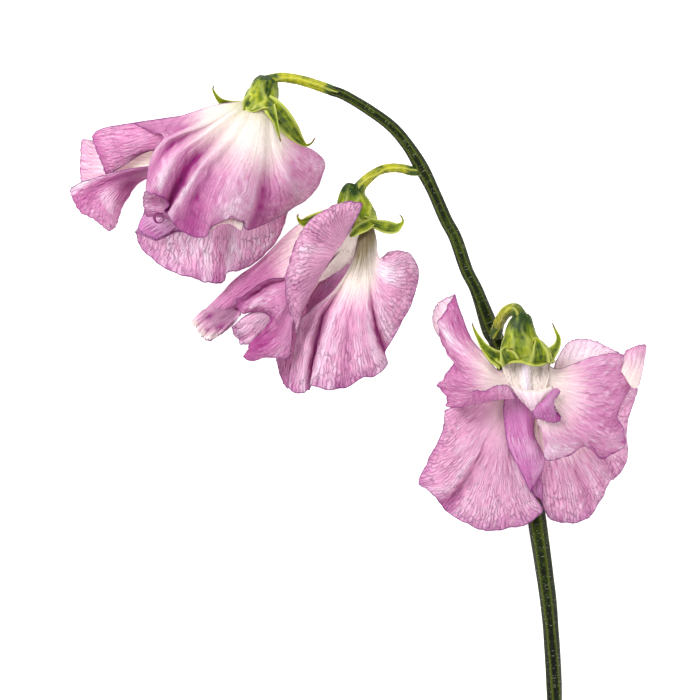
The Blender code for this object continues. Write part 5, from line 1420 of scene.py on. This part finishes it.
@dataclass
class Stalk:
    """A round green stalk through (x, y, z, radius) stations, with ridges along it."""

    name: str
    piece_name: str
    slot: str
    stations: list
    finish: bpy.types.Material
    ridges: int = 6
    ridge_height: float = 0.05
    twist: float = 0.315
    unevenness: float = 0.015
    rings: int = 240
    sides: int = 40
    start_shade: tuple[float, float] = (0.0, 1.0)
    end_shade: tuple[float, float] = (0.0, 1.0)
    seed: int = 3

    def shade_at(self, travel: np.ndarray) -> np.ndarray:
        """Paints shade onto the skin towards both ends.

        Args:
            travel: Distance of each ring from the start, in mm.

        Returns:
            How much darker each ring is, from the strength and the reach of each end's shade.
        """
        strength, reach = self.start_shade
        shade = strength * (1 - eased(travel, 0.3 * reach, reach))
        strength, reach = self.end_shade
        return shade + strength * (1 - eased(travel[-1] - travel, 0.3 * reach, reach))

    def build(self) -> bpy.types.Object:
        """Makes the stalk, dresses it and hands it over.

        Returns:
            The finished stalk.
        """
        line = GuideLine(self.stations, self.rings)
        place = line.travel / line.travel[-1]
        turn = np.linspace(0, 2 * math.pi, self.sides, endpoint=False)[None, :]
        twist = self.twist * waves(place, 1.5, self.seed)
        crest = 0.5 + 0.5 * np.cos(self.ridges * (turn + twist))
        swell = 1 + self.unevenness * waves(place, 12, self.seed + 1)
        reach = line.size * swell * (1 + self.ridge_height * (2 * crest ** 3 - 1))
        points = line.beside(reach * np.cos(turn), reach * np.sin(turn))
        faces = grid_faces(self.rings, self.sides, closed=True)
        faces += [tuple(range(self.sides))[::-1],
                  tuple(range((self.rings - 1) * self.sides, self.rings * self.sides))]
        shape = (self.rings, self.sides)
        uv = np.stack([np.broadcast_to(SKIN_WRAP * np.sin(turn), shape),
                       np.broadcast_to(line.travel, shape)], axis=2)
        # Painted highlight on the crests of the ridges, and painted shade towards the ends.
        values = {"ridge_highlight": 0.55 * crest ** 6 + np.zeros(shape), "dry": np.zeros(shape),
                  "painted_shade": np.broadcast_to(self.shade_at(line.travel), shape).copy()}
        piece = make_piece(self.piece_name, points, faces, self.finish, uv, values)
        settle(piece)
        hand_over(piece, self.name, self.slot)
        return piece


@dataclass
class Tooth:
    """One calyx tooth: a narrow guttered blade through (x, y, z, half width) stations."""

    stations: list
    thickness: float = 0.22
    rows: int = 60
    columns: int = 15
    gutter: float = 0.35
    pleats: float = 0.10
    tip_half_width: float = 0.04
    dry_from: float = 0.78

    def surface(self) -> tuple[np.ndarray, dict[str, np.ndarray], np.ndarray]:
        """Works out the tooth's middle surface.

        Returns:
            Its points, its named values and its texture coordinates.
        """
        line = GuideLine(self.stations, self.rows)
        half = np.maximum(line.size, self.tip_half_width)
        across = np.linspace(-1, 1, self.columns)[None, :]
        raised = self.gutter * (across ** 2 - 0.3) * half
        raised = raised + self.pleats * np.cos(9 * across) * np.minimum(half, 0.5)
        points = line.beside(across * half, raised)
        place = np.linspace(0, 1, self.rows)[:, None] + np.zeros_like(raised)
        # Painted highlight on the raised edges, and painted shade darker at the base and lighter towards the
        # tip.
        values = {"ridge_highlight": 0.75 * eased(np.abs(across), 0.55, 0.95) + np.zeros_like(raised),
                  "dry": eased(place, self.dry_from, 0.97), "painted_shade": 0.15 - 0.25 * place}
        uv = np.stack([across * half, line.travel + np.zeros_like(raised)], axis=2)
        return points, values, uv


@dataclass
class Calyx:
    """The toothed green bell that holds one blossom."""

    name: str
    slot: str
    bell: list
    teeth: list
    finish: bpy.types.Material
    ribs: int = 7
    rib_height: float = 0.07
    rib_lean: float = 0.35
    lobes: int = 5
    lobe_height: float = 0.35
    bulge: float = 0.05
    flare: float = 0.16
    flatness: float = 0.92
    rows: int = 70
    sides: int = 160
    thickness: float = 0.26
    seed: int = 5

    def build(self) -> list[bpy.types.Object]:
        """Makes the bell and its teeth, dresses them and hands them over.

        Returns:
            The bell, then its teeth.
        """
        pieces = [self.make_bell()]
        for number, stations in enumerate(self.teeth, 1):
            points, values, uv = Tooth(stations).surface()
            piece = make_piece(f"{self.name}_tooth_{number}", points, grid_faces(*points.shape[:2]),
                               self.finish, uv, values)
            thicken(piece, Tooth.thickness)
            hand_over(piece, self.name, self.slot)
            pieces.append(piece)
        return pieces

    def make_bell(self) -> bpy.types.Object:
        """Makes the bell: a puckered cup that swells from the stalk to a wavy, flared rim.

        Returns:
            The finished bell.
        """
        line = GuideLine(self.bell, self.rows)
        place = np.linspace(0, 1, self.rows)[:, None]
        turn = np.linspace(0, 2 * math.pi, self.sides, endpoint=False)[None, :]
        lean = turn + self.rib_lean * waves(place, 1.2, self.seed)
        rib = 0.5 + 0.5 * np.cos(self.ribs * lean)
        dent = np.sin(3 * turn + self.seed) * np.sin(math.pi * place)
        dent = dent + 0.6 * np.sin(self.lobes * turn + 7 * place + self.seed)
        swell = 1 + self.bulge * dent * eased(place, 0.0, 0.3)
        swell = swell + self.rib_height * rib ** 3 * eased(place, 0.05, 0.5)
        flared = 0.7 + 0.3 * np.cos(self.lobes * turn + self.seed)
        swell = swell + self.flare * eased(place, 0.86, 1.0) * flared
        reach = line.size * swell
        wave = self.lobe_height * np.cos(self.lobes * turn + 1.3 * self.seed) * eased(place, 0.7, 1.0)
        points = line.beside(reach * np.cos(turn), reach * np.sin(turn) * self.flatness)
        points = points + line.ahead[:, None] * wave[..., None]
        shape = (self.rows, self.sides)
        uv = np.stack([np.broadcast_to(SKIN_WRAP * np.sin(turn), shape),
                       np.broadcast_to(line.travel, shape)], axis=2)
        # The rim is paler and the rib crests carry a painted highlight, in the same value; painted shade
        # darkens the base by the stalk and the dents, and lightens the bulges.
        pale_rim = 0.8 * eased(place, 0.93, 1.0)
        ridge_highlight = np.clip(0.40 * rib ** 6 * eased(place, 0.1, 0.5) + pale_rim, 0, 1)
        painted_shade = 0.55 * (1 - eased(place, 0.0, 0.45)) - 0.12 * np.clip(dent, -1, 1)
        values = {key: grid + np.zeros(shape) for key, grid in (
            ("ridge_highlight", ridge_highlight), ("dry", 0.35 * eased(place, 0.975, 1.0)), ("painted_shade", painted_shade))}
        faces = [tuple(range(self.sides))] + grid_faces(*shape, closed=True)
        piece = make_piece(f"{self.name}_bell", points, faces, self.finish, uv, values)
        thicken(piece, self.thickness)
        hand_over(piece, self.name, self.slot)
        return piece


# ---------------------------------------------------------------- every sheet of the blossoms

# Blossom 1: the rolled tip of the keel's crumpled end, seen end on.
RING_1 = ring_ribs((-33.9, 23.4), ((0.71, 14.8), (0.82, 16.0), (0.93, 17.0)))

# Patches that deepen the colour are partly true pink flush and partly painted shade in folds and under the
# petals above; patches below 0 pale it, partly paler tissue and partly painted highlights on crests.
PETALS = (
    Petal("standard_1", "front_1", Skin.STANDARD, FRONT_1, across=260, along=120, seed=1, fold_paint_strength=0.7,
          blushes_and_painted_light=(BlushAndPaintedLight(0.66, 0.72, 0.03, 0.24, 1.0), BlushAndPaintedLight(0.71, 0.88, 0.025, 0.12, 0.6),
                   BlushAndPaintedLight(0.53, 0.74, 0.022, 0.22, 0.45), BlushAndPaintedLight(0.80, 0.45, 0.2, 0.2, 0.3),
                   BlushAndPaintedLight(0.25, 0.78, 0.03, 0.22, 0.35), BlushAndPaintedLight(0.48, 0.80, 0.04, 0.2, 0.45),
                   BlushAndPaintedLight(0.60, 0.72, 0.02, 0.2, -0.25), BlushAndPaintedLight(0.74, 0.85, 0.03, 0.15, -0.4),
                   BlushAndPaintedLight(0.36, 0.8, 0.03, 0.15, -0.35), BlushAndPaintedLight(0.55, 0.9, 0.12, 0.1, 0.2),
                   BlushAndPaintedLight(0.9, 0.65, 0.06, 0.25, 0.15)),
          ruffles=(Ruffle(0.25, 6, 0.5, 61),),
          rolls=(Roll(0.26, 0.36, 1.1, -150), Roll(0.66, 0.78, 1.2, 160))),
    Petal("standard_1", "curl_1", Skin.STANDARD, CURL_1, across=60, along=20, seed=31, reach=(0.3, 0.12)),
    Petal("wing_left_1", "far_upper_1", Skin.STANDARD, FAR_UPPER_1, seed=2, reach=(0.2, 0.95),
          blushes_and_painted_light=(BlushAndPaintedLight(0.5, 1.0, 0.5, 0.14, 0.3),)),
    Petal("wing_left_1", "far_pale_1", Skin.STANDARD, FAR_PALE_1, seed=3, reach=(0.2, 0.46)),
    Petal("wing_left_1", "far_lower_1", Skin.STANDARD, FAR_LOWER_1, across=200, seed=4, reach=(0.45, 0.95),
          blushes_and_painted_light=(BlushAndPaintedLight(0.18, 0.42, 0.12, 0.3, 0.75), BlushAndPaintedLight(0.30, 0.75, 0.08, 0.12, 0.5),
                   BlushAndPaintedLight(0.02, 0.85, 0.09, 0.3, -1.1), BlushAndPaintedLight(0.95, 0.5, 0.08, 0.5, 0.3))),
    Petal("wing_right_1", "lower_1", Skin.WING, LOWER_1, across=240, seed=5,
          blushes_and_painted_light=(BlushAndPaintedLight(0.5, 0.9, 0.03, 0.25, 0.45), BlushAndPaintedLight(0.1, 0.9, 0.05, 0.2, 0.2),
                   BlushAndPaintedLight(0.5, 0.75, 0.7, 0.35, -0.3))),
    Petal("keel_1", "keel_1", Skin.KEEL, KEEL_1, across=60, seed=6, reach=(0.0, 0.8)),
    Petal("keel_1", "rolled_1", Skin.STANDARD, ROLLED_1, seed=7, reach=(0.5, 1.0),
          blushes_and_painted_light=(BlushAndPaintedLight(0.55, 0.75, 0.12, 0.2, 0.7), BlushAndPaintedLight(0.15, 0.95, 0.2, 0.2, -0.4))),
    Petal("keel_1", "ring_1", Skin.STANDARD, RING_1, across=60, along=20, seed=30, reach=(0.7, 1.0)),
    Petal("wing_right_1", "flap_1", Skin.KEEL, FLAP_1, across=60, along=40, seed=8, reach=(0.7, 1.0)),
    Petal("standard_2", "far_2", Skin.STANDARD, FAR_2, seed=9, fold_paint_strength=0.5,
          blushes_and_painted_light=(BlushAndPaintedLight(0.75, 0.84, 0.2, 0.1, 0.25), BlushAndPaintedLight(0.9, 0.68, 0.12, 0.12, 0.9),
                   BlushAndPaintedLight(0.30, 0.93, 0.12, 0.04, 0.7),
                   BlushAndPaintedLight(0.5, 1.0, 1.0, 0.08, -0.9), BlushAndPaintedLight(0.35, 0.6, 0.3, 0.25, 0.35))),
    Petal("standard_2", "tip_2", Skin.WING, TIP_2, across=120, along=80, seed=32,
          reach=(0.85, 0.30), ragged=0.3, lined=False,
          ruffles=(Ruffle(0.5, 3, 0.1, 66), Ruffle(0.25, 7, 0.3, 67)),
          blushes_and_painted_light=(BlushAndPaintedLight(0.5, 0.15, 0.6, 0.25, 0.35), BlushAndPaintedLight(0.35, 0.45, 0.12, 0.14, 0.9),
                   BlushAndPaintedLight(0.85, 0.5, 0.12, 0.16, 0.9), BlushAndPaintedLight(0.6, 0.75, 0.08, 0.08, 0.6))),
    Petal("standard_2", "ruffle_2", Skin.STANDARD, RUFFLE_2, across=240, seed=10, reach=(0.35, 1.0),
          blushes_and_painted_light=(BlushAndPaintedLight(0.40, 0.93, 0.08, 0.1, 0.4), BlushAndPaintedLight(0.58, 0.85, 0.08, 0.2, 0.7),
                   BlushAndPaintedLight(0.03, 0.8, 0.05, 0.25, 0.4), BlushAndPaintedLight(0.2, 0.75, 0.08, 0.15, -0.45),
                   BlushAndPaintedLight(0.8, 0.8, 0.05, 0.2, -0.4), BlushAndPaintedLight(0.5, 0.8, 0.9, 0.5, 0.28))),
    Petal("standard_2", "round_2", Skin.WING, ROUND_2, across=100, along=50, seed=11, reach=(0.6, 1.0),
          ruffles=(Ruffle(0.5, 2, 0.1, 62),)),
    Petal("standard_2", "near_2", Skin.WING, NEAR_2, across=200, seed=12, reach=(0.50, 0.95),
          blushes_and_painted_light=(BlushAndPaintedLight(0.48, 0.4, 0.04, 0.3, -0.35), BlushAndPaintedLight(0.78, 0.5, 0.2, 0.7, 0.35),
                   BlushAndPaintedLight(0.28, 0.5, 0.12, 0.5, 0.22), BlushAndPaintedLight(0.5, 1.0, 0.6, 0.12, 0.25))),
    Petal("standard_2", "throat_2", Skin.STANDARD, THROAT_2, across=80, seed=13, lined=False,
          reach=(0.1, 0.3)),
    Petal("keel_2", "keel_2", Skin.KEEL, KEEL_2, across=60, seed=14),
    Petal("wing_left_2", "far_wing_2", Skin.WING, FAR_WING_2, seed=15,
          blushes_and_painted_light=(BlushAndPaintedLight(0.7, 0.9, 0.4, 0.2, 0.35),)),
    Petal("wing_right_2", "near_wing_2", Skin.WING, NEAR_WING_2, across=280, along=120, seed=16,
          blushes_and_painted_light=(BlushAndPaintedLight(0.42, 0.75, 0.02, 0.25, 0.5), BlushAndPaintedLight(0.83, 0.8, 0.02, 0.3, 0.55),
                   BlushAndPaintedLight(0.14, 0.5, 0.08, 0.12, -0.6), BlushAndPaintedLight(0.9, 0.55, 0.05, 0.2, 0.35))),
    # left_3's broad deeper patch is painted shade over the lobe, and its pale patch by the upper left margin
    # is a painted highlight.
    Petal("standard_3", "left_3", Skin.STANDARD, LEFT_3, across=200, along=120, seed=17,
          ruffles=(Ruffle(0.35, 5, 0.3, 63),),
          blushes_and_painted_light=(BlushAndPaintedLight(0.22, 0.7, 0.06, 0.2, -0.6), BlushAndPaintedLight(0.5, 0.8, 0.9, 0.35, 0.22),
                   BlushAndPaintedLight(0.03, 0.8, 0.05, 0.3, 0.3))),
    Petal("standard_3", "flap_3", Skin.STANDARD, FLAP_3, across=80, along=40, seed=18, reach=(0.25, 0.42),
          blushes_and_painted_light=(BlushAndPaintedLight(0.5, 0.5, 1.0, 1.0, -0.45),)),
    Petal("standard_3", "cuff_3", Skin.STANDARD, CUFF_3, across=120, along=40, seed=19, reach=(0.75, 1.0),
          blushes_and_painted_light=(BlushAndPaintedLight(0.3, 0.4, 0.4, 0.5, 0.45), BlushAndPaintedLight(0.02, 0.8, 0.06, 0.5, 0.6))),
    # middle_3 wears the wing finish so that its dark taupe claw colour paints shade at its base, and its pale
    # stripe down the middle is a painted highlight on the midrib.
    Petal("standard_3", "middle_3", Skin.WING, MIDDLE_3, across=120, along=60, seed=20, reach=(0.20, 0.31),
          lined=False, blushes_and_painted_light=(BlushAndPaintedLight(0.5, 0.5, 0.16, 1.0, -0.8),)),
    Petal("standard_3", "tip_3", Skin.STANDARD, TIP_3, across=100, along=50, seed=21, reach=(0.22, 0.44),
          blushes_and_painted_light=(BlushAndPaintedLight(0.5, 0.6, 0.5, 0.5, -0.35),)),
    Petal("standard_3", "curl_3", Skin.KEEL, CURL_3, across=100, along=50, seed=22, reach=(0.7, 1.0),
          rolls=(Roll(0.6, 1.0, 0.8, 150),)),
    Petal("standard_3", "right_3", Skin.STANDARD, RIGHT_3, across=280, along=120, seed=23,
          ruffles=(Ruffle(0.3, 5, 0.4, 64),),
          blushes_and_painted_light=(BlushAndPaintedLight(0.85, 0.75, 0.1, 0.25, -0.55), BlushAndPaintedLight(0.36, 0.85, 0.05, 0.15, 0.35))),
    Petal("standard_3", "ear_3", Skin.STANDARD, EAR_3, across=60, along=40, seed=29, reach=(0.24, 0.52)),
    Petal("standard_3", "back_3", Skin.STANDARD, BACK_3, across=100, along=40, seed=24, reach=(0.24, 0.44),
          blushes_and_painted_light=(BlushAndPaintedLight(0.5, 0.5, 1.0, 1.0, -0.45),)),
    Petal("wing_left_3", "wing_left_3", Skin.WING, WING_LEFT_3, across=260, along=120, seed=25,
          reach=(0.14, 1.0),
          blushes_and_painted_light=(BlushAndPaintedLight(0.5, 0.85, 0.025, 0.25, 0.45), BlushAndPaintedLight(0.93, 0.4, 0.05, 0.3, -0.5))),
    Petal("keel_3", "keel_3", Skin.KEEL, KEEL_3, across=80, seed=26, reach=(0.2, 1.0)),
    Petal("keel_3", "keel_tip_3", Skin.KEEL, KEEL_TIP_3, across=40, along=30, seed=27, reach=(0.7, 1.0)),
    Petal("wing_right_3", "wing_right_3", Skin.WING, WING_RIGHT_3, across=240, along=120, seed=28,
          blushes_and_painted_light=(BlushAndPaintedLight(0.42, 0.8, 0.02, 0.2, 0.4), BlushAndPaintedLight(0.62, 0.85, 0.02, 0.15, 0.5))),
)


# ---------------------------------------------------------------- hairs

@dataclass
class HairCoat:
    """Short pale hairs that stand on a green piece and catch the light."""

    name: str
    per_square_mm: float
    length: float
    radius: float = 0.022
    seed: int = SEED

    def tree(self, skin: bpy.types.Material) -> bpy.types.NodeTree:
        """Builds the geometry node tree that grows the hairs.

        Args:
            skin: The hairs' material.

        Returns:
            The tree, with inputs for the hairs' density, length and radius.
        """
        group = bpy.data.node_groups.new("hairs", "GeometryNodeTree")
        sockets = group.interface
        sockets.new_socket("Skin", in_out="INPUT", socket_type="NodeSocketGeometry")
        for label in ("Density", "Length", "Radius"):
            sockets.new_socket(label, in_out="INPUT", socket_type="NodeSocketFloat")
        sockets.new_socket("Hairs", in_out="OUTPUT", socket_type="NodeSocketGeometry")
        add = Bench(group).add
        start = add("NodeGroupInput", output=None)
        points = add("GeometryNodeDistributePointsOnFaces", {
            "Mesh": start["Skin"], "Density": start["Density"], "Seed": self.seed},
            output=None, distribute_method="RANDOM")
        cone = add("GeometryNodeMeshCone", {"Vertices": 4, "Radius Bottom": start["Radius"],
                                            "Radius Top": 0.0, "Depth": start["Length"]}, output="Mesh")
        tilt = add("FunctionNodeRandomValue", {"Min": (-0.5, -0.5, -0.5), "Max": (0.5, 0.5, 0.5),
                                               "Seed": self.seed + 1}, data_type="FLOAT_VECTOR")
        leaning = add("ShaderNodeVectorMath", {0: points["Normal"], 1: tilt}, operation="ADD")
        turn = add("FunctionNodeAlignRotationToVector", {"Vector": leaning}, axis="Z")
        size = add("FunctionNodeRandomValue", {"Min": 0.45, "Max": 1.15, "Seed": self.seed + 2},
                   output=1, data_type="FLOAT")
        grown = add("GeometryNodeInstanceOnPoints", {"Points": points["Points"], "Instance": cone,
                                                     "Rotation": turn, "Scale": size})
        real = add("GeometryNodeRealizeInstances", {"Geometry": grown})
        dressed = add("GeometryNodeSetMaterial", {"Geometry": real, "Material": skin})
        add("NodeGroupOutput", {"Hairs": dressed})
        return group

    def grow(self, host: bpy.types.Object, finish: bpy.types.Material) -> bpy.types.Object:
        """Grows the hairs on a finished piece and hands them over as a piece of their own.

        Args:
            host: The piece that the hairs stand on.
            finish: The hairs' material.

        Returns:
            The hairs.
        """
        hairs = bpy.data.objects.new(self.name, host.data.copy())
        bpy.context.scene.collection.objects.link(hairs)
        grower = hairs.modifiers.new("Hairs", "NODES")
        grower.node_group = self.tree(finish)
        sizes = {"Density": self.per_square_mm / MM ** 2, "Length": self.length * MM,
                 "Radius": self.radius * MM}
        for item in grower.node_group.interface.items_tree:
            if item.in_out == "INPUT" and item.name in sizes:
                grower[item.identifier] = sizes[item.name]
        graph = bpy.context.evaluated_depsgraph_get()
        mesh = bpy.data.meshes.new_from_object(hairs.evaluated_get(graph))
        hairs.modifiers.clear()
        hairs.data = mesh
        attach(hairs, ROOT_BODY)
        log.info("%s: %d faces", hairs.name, len(mesh.polygons))
        return hairs


# ---------------------------------------------------------------- the spray

@dataclass
class Spray:
    """The whole cut stem: its stem and stalks, calyces, petals, stamens and hairs."""

    petal: PetalFinish = PetalFinish("petal_lilac_pink")
    # The wings' dark taupe claw colour is painted shade, where the claw lies in shadow; the claw itself is
    # greenish cream.
    wing: PetalFinish = PetalFinish("wing_pale_lilac", claw="#93835E", blade="#F0BEDC", rim="#D896C6",
                                    blush_and_shade="#B23F94", vein="#8E3F7C", claw_end=0.14, throat_start=0.28,
                                    throat_end=0.32, blade_start=0.47, vein_strength=0.66,
                                    streak_strength=0.2, light_through=0.5)
    keel: PetalFinish = PetalFinish("keel_magenta", throat="#F0CFE4", blade="#D988C6", rim="#C767B2",
                                    throat_end=0.14, blade_start=0.4, vein_strength=0.12)
    stem_green: GreenFinish = GreenFinish("stem_waxy_green", dark="#030700", middle="#0F1A01",
                                          light="#2E3B04", ridge_highlight="#58640F", speck=0.16, roughness=0.6,
                                          gloss=0.12)
    stalk_green: GreenFinish = GreenFinish("stalk_yellow_green", dark="#2C4508", middle="#8C8E08",
                                           light="#B8B21E", ridge_highlight="#CCC950", speck=0.12, light_through=0.12)
    bell_green: GreenFinish = GreenFinish("calyx_leaf_green", dark="#1E3804", middle="#6C7E06",
                                          light="#A9AE1E", ridge_highlight="#CBD068", patch=0.16, light_through=0.2)
    hair_white: GreenFinish = GreenFinish("hair_translucent_white", dark="#C9D2A0", middle="#E6EACC",
                                          light="#FFFFFF", ridge_highlight="#FFFFFF", light_through=0.3)
    stamen_cream: GreenFinish = GreenFinish("stamen_cream", dark="#CFC98A", middle="#E8E2B0", light="#F6F2D0",
                                            ridge_highlight="#F6F2D0")

    def greens(self) -> None:
        """Makes the stem, the stalks, the calyces and their hairs."""
        stem_skin, stalk_skin, bell_skin, hair_skin = (
            finish.make() for finish in (self.stem_green, self.stalk_green, self.bell_green, self.hair_white))
        stem = Stalk("stem", "stem_stalk", "stem_green", STEM_LINE, stem_skin, rings=900, sides=48,
                     start_shade=(0.35, 70.0), end_shade=(0.7, 2.5)).build()
        HairCoat("stem_hairs", 0.7, 0.34).grow(stem, hair_skin)
        for number, line in enumerate((PEDICEL_LINE_1, PEDICEL_LINE_2, PEDICEL_LINE_3), 1):
            stalk = Stalk(f"pedicel_{number}", f"pedicel_{number}_stalk", "calyx_green", line, stalk_skin,
                          ridges=4, rings=120, start_shade=(0.7, 3.4), end_shade=(0.5, 3.5),
                          seed=10 + number).build()
            HairCoat(f"pedicel_{number}_hairs", 2.0, 0.35, seed=20 + number).grow(stalk, hair_skin)
        for number, (bell, teeth) in enumerate(((BELL_LINE_1, TOOTH_LINES_1), (BELL_LINE_2, TOOTH_LINES_2),
                                                (BELL_LINE_3, TOOTH_LINES_3)), 1):
            pieces = Calyx(f"calyx_{number}", "calyx_green", bell, teeth, bell_skin, seed=4 + number).build()
            HairCoat(f"calyx_{number}_hairs", 1.2, 0.3, seed=30 + number).grow(pieces[0], hair_skin)

    def blossoms(self) -> None:
        """Makes the petals of the three blossoms and the stamens inside their keels."""
        finishes = {Skin.STANDARD: self.petal.make(), Skin.WING: self.wing.make(),
                    Skin.KEEL: self.keel.make()}
        for petal in PETALS:
            petal.build(finishes)
        stamen_skin = self.stamen_cream.make()
        for number, line in enumerate((STAMEN_LINE_1, STAMEN_LINE_2, STAMEN_LINE_3), 1):
            Stalk(f"stamens_{number}", f"stamens_{number}_column", "stamen_cream", line, stamen_skin,
                  rings=60, sides=20).build()


@dataclass
class Studio:
    """A pale light table seen from straight above, with soft light over it, in metres."""

    camera_height: float = 0.60
    view_width: float = 0.125
    blossom_height: float = 0.012
    sensor: float = 36.0
    table_size: float = 3.0
    sky_strength: float = 0.55
    # Name, place over the middle of the spray, side, and power in watts.
    lamps: tuple = (("key", (-0.45, 0.40, 0.60), 0.45, 9.5), ("fill", (0.50, -0.45, 0.60), 0.7, 5.5))

    def build(self) -> None:
        """Makes the table, the lamps, the sky and the camera."""
        scene = bpy.context.scene
        self.table()
        middle = Vector((*(SPRAY_SHIFT[:2] * MM), 0.0))
        for name, place, size, power in self.lamps:
            light = bpy.data.lights.new(name, "AREA")
            light.size = size
            light.energy = power
            lamp = bpy.data.objects.new(name, light)
            lamp.location = middle + Vector(place)
            lamp.rotation_euler = (middle - lamp.location).to_track_quat("-Z", "Y").to_euler()
            scene.collection.objects.link(lamp)
        sky = bpy.data.worlds.new("studio")
        sky.use_nodes = True
        background = sky.node_tree.nodes["Background"].inputs
        background["Color"].default_value = linear("#FFFFFF")
        background["Strength"].default_value = self.sky_strength
        scene.world = sky
        scene.view_settings.view_transform = "Standard"
        lens = bpy.data.cameras.new("camera")
        lens.sensor_width = self.sensor
        lens.lens = self.sensor * (self.camera_height - self.blossom_height) / self.view_width
        lens.clip_start, lens.clip_end = 0.01, 10.0
        camera = bpy.data.objects.new("camera", lens)
        camera.location = middle + Vector((0.0, 0.0, self.camera_height))
        scene.collection.objects.link(camera)
        scene.camera = camera

    def table(self) -> None:
        """Makes a flat sheet of opal glass that glows evenly from below."""
        half = self.table_size / 2
        corners = [(-half, -half, 0), (half, -half, 0), (half, half, 0), (-half, half, 0)]
        mesh = bpy.data.meshes.new("table")
        mesh.from_pydata(corners, [], [(0, 1, 2, 3)])
        material, bench = new_bench("opal_light_table")
        glow = bench.add("ShaderNodeEmission", {"Color": linear("#FFFFFF"), "Strength": 0.75})
        face = bench.add("ShaderNodeBsdfDiffuse", {"Color": (0.8, 0.8, 0.8, 1.0)})
        both = bench.add("ShaderNodeAddShader", {0: glow, 1: face})
        bench.add("ShaderNodeOutputMaterial", {"Surface": both})
        mesh.materials.append(material)
        table = bpy.data.objects.new("table", mesh)
        bpy.context.scene.collection.objects.link(table)


def main() -> None:
    """Builds the spray and the studio."""
    spray = Spray()
    spray.greens()
    spray.blossoms()
    Studio().build()


if __name__ == "__main__":
    main()
